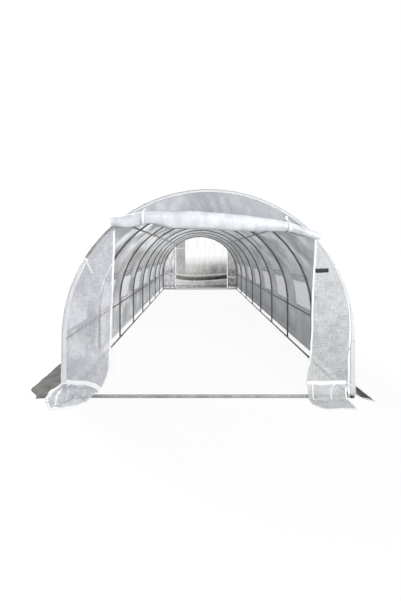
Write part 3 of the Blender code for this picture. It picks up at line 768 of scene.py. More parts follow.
def headLine(x, leftHeight, rightHeight):
    share = (x - doorLow.x) / (doorHigh.x - doorLow.x)
    return leftHeight + (rightHeight - leftHeight) * share


frontRise = {   # how far the front film's lower edge is drawn up behind the roll
    "places": (-0.975, -0.90, -0.80, -0.72, -0.655, -0.59, -0.47, -0.135, 0.205, 0.50, 0.79,
               0.90, 1.00, 1.085),
    "rises": (0, 0.022, 0.024, 0.072, 0.085, 0.070, 0.038, 0.034, 0.039, 0.045, 0.055, 0.020, 0.003, 0),
}


def frontEdge(x):   # the lower edge of the film over the front doorway
    rise = np.clip(smoothThrough(frontRise["places"], frontRise["rises"], x), 0, None)
    return headLine(x, frontHead["left"], frontHead["right"]) + rise


def panelFolds(x, z, seed, strength=1.0, lean=(0.45, -0.35)):
    creases = [(high, size, seed + k) for high, size, k in endWall["creases"]]
    soft = [(high, turn, wide, long, seed + k)
            for (high, wide, long, k), turn in zip(endWall["streaks"], lean)]
    return strength * foldsOf(x, z, creases, soft)


# Each side panel: its doorway edge by height, then its apron by its share of the width (hems, reaches) and by
# the share of the way down it (outShares, highShares)
panelRows = {"upper": 96, "apron": 26, "columns": 46}
rearZipWide = 0.036
endPanels = {
    "front_panel_left": {
        "film": wallLeftFilm, "side": -1, "facing": -1, "seed": 101, "top": frontHead["left"],
        "slack": 1.0, "curl": 0.010, "bare": True, "lean": (0.45, -0.35),
        "innerHeights": (0.0, 0.05, 0.12, 0.22, 0.35, 0.60, 1.00, 1.40, 1.75),
        "innerPlaces": (-1.18, -1.15, -1.09, -1.043, -1.012, -1.000, -0.984, -0.964, -0.958),
        "shares": (0.0, 0.15, 0.4, 0.7, 1.0), "hems": (0.078, 0.112, 0.145, 0.158, 0.163),
        "reaches": (0.085, 0.11, 0.15, 0.19, 0.217), "footPlaces": (-1.205, -1.512), "bulge": -0.10,
        "down": (0, 0.2, 0.4, 0.6, 0.8, 1), "outShares": (0, 0.10, 0.30, 0.52, 0.76, 1),
        "highShares": (1, 0.72, 0.52, 0.28, 0.20, 0.02), "ruck": 0.050, "ruckSize": 0.11, "tapes": (0.80,),
        "edge": (0.010, 0.020), "hemWide": 0.056, "hemEnd": 1.0, "pull": 1.0,
    },
    "front_panel_right": {
        "film": wallFilm, "side": 1, "facing": -1, "seed": 121, "top": frontHead["right"],
        "slack": 1.1, "curl": 0.006, "lean": (0.80, 0.62),
        "innerHeights": (0.0, 0.19, 0.38, 0.65, 1.04, 1.32, 1.60, 1.66),
        "innerPlaces": (0.994, 1.000, 1.029, 1.049, 1.053, 1.069, 1.085, 1.087),
        "shares": (0.0, 0.12, 0.3, 0.6, 1.0), "hems": (0.160,) * 5,
        "reaches": (0.10, 0.165, 0.195, 0.20, 0.20), "footPlaces": (1.01, 1.405), "bulge": 0.0,
        "down": (0, 0.2, 0.4, 0.5, 0.75, 1), "outShares": (0, 0.04, 0.07, 0.12, 0.55, 1),
        "highShares": (1, 0.58, 0.16, 0.04, 0.035, 0.02), "ruck": 0.013, "ruckSize": 0.12,
        "tapes": (0.13, 0.60), "edge": (0.0, 0.018), "hemWide": 0.046, "hemEnd": 0.82, "pull": 0.18,
    },
}
for handName, handSide in hands:
    rearInner = (doorLow.x if handSide < 0 else doorHigh.x) + handSide * rearZipWide
    endPanels[f"rear_panel_{handName}"] = {
        "film": rearSideFilm if handSide < 0 else rearShadedSideFilm, "side": handSide, "facing": 1,
        "seed": 150 + 9 * handSide, "top": doorHigh.z, "slack": 1.4, "curl": 0.003,
        "lean": (0.9 * handSide, 0.5 * handSide), "innerHeights": (0.0, 0.8, 1.7),
        "innerPlaces": (rearInner,) * 3,
        "shares": (0.0, 0.5, 1.0), "hems": (0.13,) * 3, "reaches": (0.20, 0.21, 0.20),
        "footPlaces": (rearInner, handSide * 1.49), "bulge": 0.0,
        "down": (0, 0.25, 0.5, 0.75, 1), "outShares": (0, 0.12, 0.4, 0.7, 1),
        "highShares": (1, 0.6, 0.2, 0.05, 0.02), "ruck": 0.014, "ruckSize": 0.12, "tapes": (0.35, 0.75),
        "edge": (0.020, 0.020), "hemWide": 0.046, "hemEnd": 1.0, "pull": 1.0,
        "creases": [((handSide * 1.46, high), (handSide * inside, low), rise) for high, inside, low, rise in (
            (0.66, 1.04, 0.40, 0.016), (0.54, 1.06, 0.24, 0.014), (0.84, 1.06, 0.60, 0.012))],
    }


def makeEndPanel(name, panel):
    # A side panel from its top corner down to its hem, and on as an apron over the ground.
    # Its rows start at the apron's free edge, its columns at the doorway.
    side, facing, seed = panel["side"], panel["facing"], panel["seed"]
    t = np.linspace(0, 1, panelRows["upper"])[:, None]
    across = np.linspace(0, 1, panelRows["columns"])[None, :]
    hem = smoothThrough(panel["shares"], panel["hems"], across)
    z = hem + (panel["top"] - hem) * t
    inner = smoothThrough(panel["innerHeights"], panel["innerPlaces"], z)
    outer = side * edgeAt(z)
    if panel.get("bare"):
        angle = np.arctan2(z - springHeight, -edgeAt(z))
        bare = fade(angle, endWall["bareFrom"] - 0.02, endWall["bareFrom"] + 0.03)
        bare = bare * (1 - fade(angle, endWall["bareTo"] - 0.03, endWall["bareTo"] + 0.02))
        outer = outer - side * bare * endWall["bareBack"]
    x = inner + (outer - inner) * across
    held = fade(np.abs(outer - x), 0.0, 0.14)
    folds = panelFolds(x + seed, z, seed, panel["slack"], panel["lean"])
    for start, end, height in panel.get("creases", ()):
        folds = folds + height * crease(x, z, start, end, 0.020)
    curl = panel["curl"] * (1 - fade(np.abs(x - inner), 0, 0.10)) * np.sin(z * 5.1 + seed)
    room = endWall["rollRoom"] + 0.02 * fade(np.abs(x - inner), 0.08, 0.20)   # the roll passes here
    out = wallPlace + endWall["ride"] + np.minimum((folds + curl) * held, room)
    upper = pointsOf(x, facing * out, z)
    q = np.linspace(0, 1, panelRows["apron"] + 1)[1:, None]
    reach = smoothThrough(panel["shares"], panel["reaches"], across)
    apronOut = reach * smoothThrough(panel["down"], panel["outShares"], q)
    apronHigh = hem * smoothThrough(panel["down"], panel["highShares"], q)
    endInner, endOuter = panel["footPlaces"]
    footX = x[:1] + (endInner + (endOuter - endInner) * across - x[:1]) * fade(q, 0, panel["pull"])
    footX = footX + panel["bulge"] * across**2 * np.sin(math.pi * q)
    rumple = crumple(footX, q * 0.30, panel["ruckSize"], seed + 5)
    ruck = panel["ruck"] * np.clip(rumple + 0.25, 0, 1.2) * fade(q, 0.05, 0.3) * (1 - 0.7 * fade(q, 0.75, 1))
    lower = pointsOf(footX, facing * (out[:1] + apronOut + ruck * 0.3), np.maximum(apronHigh + ruck, 0.002))
    place = np.concatenate([lower[::-1], upper])
    steps = np.linalg.norm(np.diff(place, axis=0), axis=2).mean(axis=1)
    length = np.cumsum(np.r_[0, steps])
    piece = makePiece(name, [patchOf(place, (x.mean(axis=0)[None, :], length[:, None]))], panel["film"],
                      "frame_and_cover")
    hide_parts("front_end_wall" if facing < 0 else "rear_end_wall")
    return place


def makeHeader(name, facing, leftHeight, rightHeight, seed, material):
    # The film above a doorway, up to the hoop
    xs = np.linspace(-1.2, 1.2, 4801)
    over = archAt(xs) > headLine(xs, leftHeight, rightHeight)
    x = np.linspace(xs[over][0], xs[over][-1], 120)[None, :]
    low = frontEdge(x) if facing < 0 else headLine(x, leftHeight, rightHeight)
    high = np.maximum(archAt(x), low + 0.0005)
    z = low + (high - low) * np.linspace(0, 1, 26)[:, None]
    held = fade(high - z, 0, 0.10) * fade(z - low, 0, 0.05)
    out = wallPlace + endWall["ride"] + held * panelFolds(x, z, seed, 0.7)
    piece = makePiece(name, [patchOf(pointsOf(x, facing * out, z), (x, doorHigh.z - z))], material,
                      "frame_and_cover")


panelGrids = {name: makeEndPanel(name, panel) for name, panel in endPanels.items()}
makeHeader("front_header", -1, frontHead["left"], frontHead["right"], 181, headerFilm)
makeHeader("rear_header", 1, frontHead["right"], frontHead["right"], 191, rearFilm)
print("end walls made")


def onGrid(grid, rows, columns, lift, facing):
    # Points over a panel's grid, at fractional rows and columns, raised to its outer face
    rows, columns = np.broadcast_arrays(np.asarray(rows, float), np.asarray(columns, float))
    i = np.clip(np.floor(rows).astype(int), 0, grid.shape[0] - 2)
    j = np.clip(np.floor(columns).astype(int), 0, grid.shape[1] - 2)
    f, g = (rows - i)[..., None], (columns - j)[..., None]
    normal = np.cross(np.gradient(grid, axis=0), np.gradient(grid, axis=1))
    normal = normal / np.maximum(np.linalg.norm(normal, axis=2, keepdims=True), 1e-9)
    normal = normal * np.sign(normal @ np.array([0, facing, 0.2]))[..., None]

    def mixed(values):
        near = values[i, j] * (1 - g) + values[i, j + 1] * g
        return near * (1 - f) + (values[i + 1, j] * (1 - g) + values[i + 1, j + 1] * g) * f
    place = mixed(grid) + lift * mixed(normal)
    place[..., 2] = np.maximum(place[..., 2], tunnel["layFlat"] / 2)
    return place


panelTape = {"edgeLift": 0.0018, "hemLift": 0.0028, "freeLift": 0.0020, "sideLift": 0.0024, "upLift": 0.0036,
             "side": 0.018, "up": 0.018}   # widths of the apron's side hem and of the tapes up it


def panelTapes(name, panel):
    grid, facing = panelGrids[name], panel["facing"]
    rows, columns = grid.shape[0] - 1, grid.shape[1] - 1
    hemRow = panelRows["apron"]
    wide = np.linalg.norm(grid[:, -1] - grid[:, 0], axis=1)
    edge = panel["edge"][0] + (panel["edge"][1] - panel["edge"][0]) * fade(grid[:, :1, 2], 0.25, 0.42)
    edge = np.maximum(edge, 0.001) / np.maximum(wide, 0.06)[:, None] * columns
    upStep = (panel["top"] - 0.16) / panelRows["upper"]
    hem = np.linspace(hemRow - 1.5, hemRow - 1.5 + panel["hemWide"] / upStep, 5)[:, None]
    side = columns - panelTape["side"] / wide[0] * columns * np.array([[1, 0.5, 0]])
    # down the doorway edge, along the hem, along the apron's free edge and down its outer side
    runs = [(np.arange(rows + 1)[:, None], edge * np.array([0, 0.33, 0.67, 1]), "edgeLift"),
            (hem, np.linspace(0, panel["hemEnd"] * columns, columns)[None, :], "hemLift"),
            (np.linspace(0, 1.4, 3)[:, None], np.arange(columns + 1)[None, :], "freeLift"),
            (np.arange(0, hemRow + 1)[:, None], side, "sideLift")]
    half = panelTape["up"] / 2 / wide[hemRow] * columns
    lowest = 7 if panel["side"] > 0 and facing < 0 else 3
    runs += [(np.arange(lowest, hemRow)[:, None], share * columns + half * np.array([[-1, 0, 1]]), "upLift")
             for share in panel["tapes"]]
    tapes = []
    for down, across, lift in runs:
        place = onGrid(grid, down, across, panelTape[lift], facing)
        tapes.append(patchOf(place, (lengthsAlong(place[0])[None, :], lengthsAlong(place[:, 0])[:, None])))
    return tapes


# The sleeve round each end hoop: its outer edge, its seam and the seam's width, each read at five heights.
# At the front's foot the sleeve hangs loose on the left and is doubled on the right.
rim = {
    "heights": (0.14, 0.45, 1.0, 1.35, 1.75),
    "left": {"sleeve": (-0.014, -0.012, 0.002, 0.005, 0.005), "seam": (0.036, 0.036, 0.033, 0.032, 0.018),
             "seamWide": (0.005, 0.005, 0.009, 0.011, 0.007)},
    "right": {"sleeve": (0.004, 0.004, 0.004, 0.005, 0.005), "seam": (0.056, 0.054, 0.026, 0.026, 0.018),
              "seamWide": (0.024, 0.024, 0.013, 0.007, 0.007)},
    "rear": {"sleeve": (0.005,) * 5, "seam": (0.034,) * 5, "seamWide": (0.011,) * 5},
    "pipe": (-0.0015, 0.008),   # inset and width of the piping
    "foot": 0.03,               # where the sleeve ends above the ground
    "cord": 1.2,                # the grey cord, painted shade of the hoop behind the film, runs from the bare hoop this far right of the ridge
    "corner": 0.024,            # the tape that turns back over the cover
    "seamLift": 0.0032, "thick": 0.001, "sleeveThick": 0.0006,
}
wallTurn = endWall["radius"] * math.pi / 2   # metres along the wall's edge from the ridge down to the spring
hoopLength = wallTurn + springHeight - rim["foot"]
bareSpan = [endWall["radius"] * (a - math.pi / 2) for a in (endWall["bareFrom"], endWall["bareTo"])]


def edgeBand(facing, part, start, end, lift):
    # A band on the wall's face along its edge, start and end in metres right of the ridge
    along = stations([start, end], 0.03)[:, None]
    hand, radius = np.sign(along), endWall["radius"]
    angle = np.clip(np.abs(along), 0, wallTurn) / radius
    height = springHeight + radius * np.cos(angle) - np.clip(np.abs(along) - wallTurn, 0, None)
    near, far = ("left", "right") if facing < 0 else ("rear", "rear")
    sleeve, seam, seamWide = (np.where(hand > 0, np.interp(height, rim["heights"], rim[far][line]),
                                       np.interp(height, rim["heights"], rim[near][line]))
                              for line in ("sleeve", "seam", "seamWide"))
    inset, wide = {"pipe": rim["pipe"], "seam": (seam, seamWide), "sleeve": (sleeve, seam - sleeve)}[part]
    share = np.array([[0, 0.5, 1.0]])
    back = inset + wide * share
    x = hand * (radius - back) * np.sin(angle)
    z = height - back * np.cos(angle)
    y = facing * (wallPlace + lift + 0.0015 * np.sin(math.pi * share))
    return patchOf(pointsOf(x, y, z), (back, along))


def roundCorner(facing):   # the tape that turns back from the wall over the cover
    back = np.array([[0, 0.5, 1.0]]) * rim["corner"]
    radius = skinRadius + 0.0014
    y = facing * (wallPlace + 0.004 - back)
    angle = stations([0, math.pi], 0.02)[:, None]
    arch = pointsOf(radius * np.cos(angle), y, springHeight + radius * np.sin(angle))
    z = stations([tunnel["seamHeight"], springHeight], 0.05)[:, None]
    return [patchOf(arch, (back, angle * radius))] + [patchOf(pointsOf(side * radius, y, z), (back, z))
                                                      for hand, side in hands]


def makeWallTapes(end, facing, covered, sleeveLift):   # covered: where along its edge the hoop has its sleeve
    lift = rim["seamLift"]
    tapes = roundCorner(facing) + [edgeBand(facing, "seam", *run, lift) for run in covered]
    tapes += [edgeBand(facing, "pipe", *run, lift)
              for run in ((-hoopLength, -bareSpan[1]), (rim["cord"], hoopLength))]
    for name, panel in endPanels.items():
        if panel["facing"] == facing:
            tapes += panelTapes(name, panel)
    sewOn(f"{end}_wall_tapes", tapes, whiteTape, rim["thick"])
    sewOn(f"{end}_edge_piping", [edgeBand(facing, "pipe", -bareSpan[0], rim["cord"], lift)],
          shadedPipingCord, rim["thick"])
    makePiece(f"{end}_hoop_sleeve", [edgeBand(facing, "sleeve", *run, sleeveLift) for run in covered],
              sleeveFilm,
              "frame_and_cover", rim["sleeveThick"])


makeWallTapes("front", -1, ((-hoopLength, -bareSpan[1]), (-bareSpan[0], hoopLength)), 0.0046)
makeWallTapes("rear", 1, ((-hoopLength, hoopLength),), 0.0008)

pinch = {
    "lines": (   # start, end, width and height of each, in metres across and up the wall
        ((-1.285, 1.455), (-1.182, 1.270), 0.024, 0.010), ((-0.985, 1.395), (-1.062, 1.235), 0.022, 0.010),
        ((-1.062, 1.235), (-1.125, 1.02), 0.012, 0.004)),
    "steps": 12, "base": 0.0010, "lift": 0.0012,
}


def makePinches():
    # Film gathered in narrow doubled folds, drawn in the whiter rolled film: partly the real doubled layer,
    # partly painted highlight along each fold
    upper = panelGrids["front_panel_left"][panelRows["apron"]:]
    taper = np.sin(math.pi * np.linspace(0.12, 1.0, pinch["steps"])) ** 0.6
    patches = []
    for start, end, wide, height in pinch["lines"]:
        line = np.linspace(start, end, pinch["steps"])
        along = (line[-1] - line[0]) / np.linalg.norm(line[-1] - line[0])
        across = np.array([-along[1], along[0]])
        columns = []
        for offset, rise in ((-0.5, pinch["base"]), (-0.12, height), (0.12, height), (0.5, pinch["base"])):
            spot = line + across * (offset * wide * taper)[:, None]
            farX, farZ = (upper[None, ..., axis] - spot[:, k, None, None] for k, axis in enumerate((0, 2)))
            nearest = (farX**2 + farZ**2).reshape(len(spot), -1).argmin(axis=1)
            y = upper[..., 1].ravel()[nearest] - (rise * taper + pinch["lift"])
            columns.append(pointsOf(spot[:, 0], y, spot[:, 1]))
        place = np.stack(columns, axis=1)
        patches.append(patchOf(place, (place[..., 0], place[..., 2])))
    makePiece("front_panel_left_pinches", patches, doorFilm, "frame_and_cover")


makePinches()

zips = {
    "pitch": 0.008, "low": 0.24, "below": 0.02, "stagger": 0.0015, "tooth": (0.005, 0.0036), "thick": 0.0016,
    "tapePlaces": (-0.0225, -0.009, 0, 0.009, 0.0225), "tapeRises": (0.0030, 0.0045, 0.0052, 0.0045, 0.0030),
    "tapeThick": 0.001,
}


def makeZips(end, facing, out):
    # Coil zips up both sides of each doorway, drawn with a tooth each 8 mm instead of 1.5 mm
    teeth, tapes = [], []
    toothX, toothZ = (np.array([-0.5, 0.5]) * size for size in zips["tooth"])
    for hand, side in hands:
        place = middleOf(f"zip_slider_{hand}").x
        if facing > 0:
            place = (doorLow.x if side < 0 else doorHigh.x) + side * rearZipWide / 2
        top = frontHead[hand if facing < 0 else "right"] - zips["below"]
        for k, height in enumerate(np.arange(zips["low"], top, zips["pitch"])):
            x = place + zips["stagger"] * (1 if k % 2 else -1) + toothX[:, None]
            z = height + toothZ[None, :]
            teeth.append(patchOf(pointsOf(x, facing * (wallPlace + out), z), (x, z)))
        z = stations([0.04, top + 0.022], 0.05)[:, None]
        x = place + np.array([zips["tapePlaces"]])
        tapes.append(patchOf(pointsOf(x, wallPlace + np.array([zips["tapeRises"]]), z), (x, z)))
    makePiece(f"{end}_zip_teeth", teeth, zipNylon, "frame_and_cover",
              zips["thick"], smooth=False)
    if facing > 0:   # the front's tapes are the panels' own edges
        sewOn(f"{end}_zip_tapes", tapes, thinTape, zips["tapeThick"])


makeZips("front", -1, 0.0066)
makeZips("rear", 1, 0.0086)

tab = {"from": 1.092, "to": 1.222, "top": 1.329, "high": 0.042, "slant": 0.04, "search": 0.022,
       "lift": 0.0022,
       "thick": 0.0012}


def makeTab():   # a plain woven tab, which lies over the folds of the panel
    x = np.linspace(tab["from"], tab["to"], 9)[None, :]
    z = tab["top"] + (x - tab["from"]) * tab["slant"] - np.linspace(0, tab["high"], 4)[:, None]
    film = panelGrids["front_panel_right"].reshape(-1, 3)
    far = np.hypot(film[:, 0] - x[..., None], film[:, 2] - z[..., None])
    y = np.where(far < tab["search"], film[:, 1], 0).min(axis=-1).min(axis=0, keepdims=True) - tab["lift"]
    sewOn("blank_tab", [patchOf(pointsOf(x, y, z), (x, z))], tabTape, tab["thick"])


makeTab()

hoopTie = {"angles": (147.8, 27.9), "radius": 0.0195, "tilts": (-0.45, 0.35), "ring": (0.0042, 0.0035),
           "drifts": (-0.03, 0.035), "hang": 0.05, "tail": (0.0035, 0.0025)}


def makeHoopTies():   # short cords that tie the film to the front hoop at two places
    patches = []
    for angle in (math.radians(a) for a in hoopTie["angles"]):
        centre = np.array([hoopRadius * math.cos(angle), -wallPlace + tubeSize / 2,
                           springHeight + hoopRadius * math.sin(angle)])
        out = np.array([math.cos(angle), 0, math.sin(angle)])
        along = np.array([-math.sin(angle), 0, math.cos(angle)])
        ring = np.linspace(0, wholeTurn, 25)[:, None]
        for tilt in hoopTie["tilts"]:
            path = centre + hoopTie["radius"] * (np.cos(ring) * out + np.sin(ring) * np.array([0, 1, 0]))
            path = path + along * tilt * 0.02 * np.cos(ring)
            patches.append(tubePatch(path, along * hoopTie["ring"][0], out * hoopTie["ring"][1], 6))
        tails = np.linspace(0, 1, 9)[:, None]
        start = centre + out * 0.012 + np.array([0, -0.018, 0])
        for drift in hoopTie["drifts"]:
            path = start + np.array([drift, -0.004, -hoopTie["hang"]]) * tails
            path = path + np.array([0.008, 0, 0]) * np.sin(tails * 5)
            patches.append(tubePatch(path, np.array([hoopTie["tail"][0], 0, 0]),
                                     np.array([0, hoopTie["tail"][1], 0]), 6))
    makePiece("front_hoop_ties", patches, whiteTape, "frame_and_cover")


makeHoopTies()
print("tapes, zips and ties made")


# The rear door, zipped shut and hanging in slack folds

rearDoor = {
    "swag": 0.07, "hemWide": 0.03, "rows": 118, "columns": 70,
    # heights down the sheet at its middle, and how far out it stands there: it doubles back on itself in
    # one deep fold and one shallow one
    "down": (doorHigh.z, 1.45, 1.25, 1.05, 0.88, 0.74, 0.62, 0.52, 0.45, 0.425, 0.45, 0.52, 0.575, 0.595,
             0.58, 0.52, 0.42, 0.32, 0.22, 0.15, 0.125, 0.14, 0.16, 0.165, 0.15, 0.10, 0.045),
    "out": (0.0, 0.004, 0.008, 0.010, 0.008, 0.002, -0.010, -0.022, -0.030, -0.024, -0.008, 0.004, 0.010,
            0.016, 0.022, 0.026, 0.022, 0.014, 0.004, -0.008, -0.010, -0.002, 0.006, 0.010, 0.012, 0.008, 0),
    "streaks": ((0.006, 0.0, 0.05, 0.9, 215),),
}


def makeRearDoor():
    knots = np.arange(len(rearDoor["down"]), dtype=float)
    at = np.linspace(0, knots[-1], rearDoor["rows"])
    down, out = (smoothThrough(knots, rearDoor[line], at)[:, None] for line in ("down", "out"))
    x = np.linspace(doorLow.x + 0.002, doorHigh.x - 0.002, rearDoor["columns"])[None, :]
    half = (doorHigh.x - doorLow.x) / 2
    share = (x - (doorLow.x + doorHigh.x) / 2) / half
    swag = rearDoor["swag"] * (1 - share**2) * fade(down, 0.05, 0.45) * (1 - fade(down, 0.7, 1.5))
    z = down - swag + 0.03 * swag / rearDoor["swag"] * share
    folds = panelFolds(x, z, 211) + foldsOf(x, z, (), rearDoor["streaks"])
    folds = folds * (1 - 0.65 * fade(z, 0.95, 1.25))
    folds = folds * fade(1 - np.abs(share), 0, 0.15) * fade(doorHigh.z - z, 0, 0.1)
    edge = 1 - 0.75 * np.abs(share) ** 6
    y = wallPlace + 0.003 + 0.0026 * fade(doorHigh.z - z, 0, 0.06) + out * edge + folds
    length = lengthsAlong(np.hstack([down, out]))
    piece = makePiece("rear_door_film", [patchOf(pointsOf(x, y, z), (x, length[:, None]))], rearFilm,
                      "rear_door_panel")
    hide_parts("rear_door")
    rise = np.array([[0.0], [rearDoor["hemWide"]]])
    hem = makePiece("rear_door_hem", [patchOf(pointsOf(x, y[-1:], rise + z[-1:]), (x, rise))], whiteTape,
                    "rear_door_panel", 0.0012)


makeRearDoor()

stormFlap = {"right": -0.60, "low": 0.64, "trim": 0.006, "sway": 0.008, "belly": 0.018, "rimGap": 0.04,
             "headGap": 0.012, "streaks": ((0.006, 0.0, 0.06, 0.8, 251),)}


def makeRearFlap():   # a second layer behind the door's left third, which makes it look darker
    x = np.linspace(doorLow.x + stormFlap["trim"], stormFlap["right"], 14)[None, :]
    z = stations([stormFlap["low"], doorHigh.z - 0.004], 0.05)[:, None]
    below = doorHigh.z - z
    belly = (stormFlap["belly"] + foldsOf(x, z, (), stormFlap["streaks"])) * fade(below, 0, 0.14)
    piece = makePiece("rear_door_storm_flap",
                      [patchOf(pointsOf(x, wallPlace + stormFlap["sway"] + belly, z), (x, below))],
                      stormFilm, "rear_door_panel")
    top, foot = archAt(x) - stormFlap["rimGap"], doorHigh.z + stormFlap["headGap"]
    z = foot + (top - foot) * np.linspace(0, 1, 10)[:, None]
    above = makePiece("rear_header_storm_flap",
                      [patchOf(pointsOf(x, wallPlace + 0.012, z), (x, doorHigh.z - z))],
                      stormFilm, "frame_and_cover")


makeRearFlap()
print("rear door made")


# The front door, rolled up over the doorway

rollLow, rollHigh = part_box("front_door_roll")
strapPlaces = [middleOf(f"door_strap_{hand}").x for hand, side in hands]
roll = {
    "places": (-0.98, -0.90, -0.80, -0.655, -0.60, -0.47, -0.135, 0.20, 0.50, 0.70, 0.795, 0.90, 1.06, 1.12),
    "centres": (1.806, 1.804, 1.808, 1.840, 1.844, 1.828, 1.816, 1.798, 1.775, 1.761, 1.750, 1.715, 1.664,
                1.648),
    "heights": (0.095, 0.113, 0.140, 0.130, 0.132, 0.159, 0.188, 0.177, 0.149, 0.118, 0.099, 0.095, 0.087,
                0.083),
    "depth": 0.104, "turns": 7, "steps": 40, "core": 0.235, "standoff": 0.0155, "trim": (0.012, 0.034),
    "pinch": 0.10, "pinchOver": 0.11,   # the film gathers this deep under the straps, over this length
}
strap = {"wide": 0.03, "loose": 1.06, "wallLift": 0.006, "thick": 0.0018}


def rollAt(x):   # the roll's middle height and half height at a place along it
    centre, high = (smoothThrough(roll["places"], roll[line], x) for line in ("centres", "heights"))
    return centre, high / 2


def rollSurface(x, turn, layer):
    # A point of the rolled sheet: turn goes over the top from the wall side, layer falls from 1 to the core
    centre, half = rollAt(x)
    near = np.min([np.abs(x - place) for place in strapPlaces], axis=0)
    folds = roll["pinch"] * np.exp(-near / roll["pinchOver"]) * np.cos(5 * turn + 4.0 * x)
    phase = np.mod(turn, wholeTurn)   # each turn of the roll has the folds of the turn around it
    wrap = fade(phase, 5.6, wholeTurn)
    for share, at in ((1 - wrap, phase), (wrap, phase - wholeTurn)):
        creased = foldsOf(x, at * 0.11, ((0.045, 0.26, 223), (0.010, 0.09, 227)), ())
        folds = folds + share * (0.05 * cloud(at * 0.35 + x * 1.3, x * 0.6, 0.22, 221) + creased)
    reach = layer * (1 + folds * fade(near, 0.015, 0.04) * fade(layer, 0.3, 0.9))
    y = -(wallPlace + roll["standoff"] + roll["depth"] / 2) + reach * np.cos(turn) * roll["depth"] / 2
    return y, centre + reach * np.sin(turn) * half


def makeStrap(hand, place):
    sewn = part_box(f"door_strap_{hand}")[1].z
    turn = np.linspace(math.pi / 2, wholeTurn * 0.98, 30)
    across = np.linspace(-strap["wide"] / 2, strap["wide"] / 2, 3)
    ringY, ringZ = rollSurface(place + 0 * turn, turn, strap["loose"] + 0 * turn)
    fall = np.linspace(sewn, ringZ[0] + 0.02, 8)
    wallY = np.full(8, -(wallPlace + strap["wallLift"]))
    wallY[-3:] = np.linspace(wallY[0], ringY[0] * 0.4 + wallY[0] * 0.6, 3)
    path = np.stack([np.r_[wallY, ringY], np.r_[fall, ringZ]], -1)
    web = pointsOf(place + across[None, :], path[:, :1], path[:, 1:])
    piece = makePiece(f"door_strap_web_{hand}",
                      [patchOf(web, (across[None, :], lengthsAlong(path)[:, None]))],
                      strapTape, "front_door", strap["thick"])
    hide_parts(f"door_strap_{hand}")
    return piece


def makeFrontDoor():
    outline = np.linspace(0, wholeTurn * roll["turns"], roll["turns"] * roll["steps"] + 1)[None, :]
    left, right = rollLow.x + roll["trim"][0], rollHigh.x - roll["trim"][1]
    x = np.linspace(left, right, 130)[:, None]
    layer = 1 - (1 - roll["core"]) * outline / outline.max()
    y, z = rollSurface(x, outline, layer)
    near = np.minimum(x - left, right - x)
    slide = 0.010 * cloud(outline * 0.3, np.sign(x) * 5.0, 1, 231) * (1 - fade(near, 0, 0.10))
    size = (rollAt(x)[1].mean() + roll["depth"] / 2) / 2
    cut = np.cumsum(np.r_[0, (layer[0, 1:] * np.diff(outline[0])) * size])
    piece = makePiece("front_door_film", [patchOf(pointsOf(x + slide, y, z), (x, cut[None, :]))], doorFilm,
                      "front_door")
    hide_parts("front_door_roll")
    straps = [makeStrap(hand, place) for (hand, side), place in zip(hands, strapPlaces)]


makeFrontDoor()

frontCurtain = {"long": 1.35, "tuck": 0.03, "up": 0.004, "trim": 0.003, "seamOut": 0.0022, "rollOut": 0.0148}


def makeFrontCurtain():
    # The door's film between its seam and the roll: a narrow ledge behind the roll.
    seamY, rollY = (-(wallPlace + frontCurtain[place]) for place in ("seamOut", "rollOut"))
    long, tuckIn = frontCurtain["long"], frontCurtain["tuck"]
    x = np.linspace(doorLow.x + frontCurtain["trim"], doorHigh.x - frontCurtain["trim"], 90)[None, :]
    edge = frontEdge(x) + frontCurtain["up"]
    rows = np.linspace(0, 1, 40)[:, None]
    ledge = pointsOf(x, seamY + (rollY - seamY) * rows, edge)
    tuck = np.linspace(0, 1, 5)[1:, None]
    behind = pointsOf(x, rollY - 0.0002 * tuck, edge + tuckIn * tuck)
    length = np.concatenate([long * fade(rows, 0, 1), long + tuckIn * tuck])
    curtain = makePiece("front_door_curtain", [patchOf(np.concatenate([ledge, behind]), (x, length))],
                        wallFilm,
                        None)
    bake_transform(curtain)


makeFrontCurtain()
print("front door made")


# The steel frame: the CAD tubes, their bolts and joints

for nodeName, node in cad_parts.items():
    if nodeName.startswith(("arch", "leg", "base_rail", "middle_rail", "purlin", "front_sill", "rear_sill")):
        node.data.materials.clear()
        node.data.materials.append(paleLitSteel if nodeName in ("front_sill", "arch_1") else tubeSteel)
    elif nodeName.startswith("zip_slider"):
        node.data.materials.clear()
        node.data.materials.append(zipNylon)

fittings = {
    "purlinSize": 0.019,
    # corners, radius, start and end of the washer and of the bolt's head
    "bolt": ((16, 0.0085, 0.0, 0.0014), (6, 0.0062, 0.0014, 0.0060)),
    "jointBolt": 0.585,        # how high the bolt through each leg and its arch sits
    "collarStart": 0.03, "collarStops": (0, 0.001, 0.045, 0.046), "collarGrow": (0.92, 1, 1, 0.92),
}


def boltPatches(place, inward):   # a hexagon head on a round washer
    side = np.array([0.0, 0.0, 1.0]) if abs(inward[1]) > 0.5 else np.array([0.0, 1.0, 0.0])
    up = np.cross(inward, side)
    patches = []
    for corners, radius, start, end in fittings["bolt"]:
        stops = ((0.0001, end), (radius * 0.92, end), (radius, end - 0.0005), (radius, start))
        turn = np.linspace(0, wholeTurn, corners + 1)
        rings = [place + inward * depth + r * (np.cos(turn)[:, None] * side + np.sin(turn)[:, None] * up)
                 for r, depth in stops]
        patches.append(patchOf(np.array(rings), (turn[None, :] * 0.01, np.arange(4)[:, None] * 0.01)))
    return patches


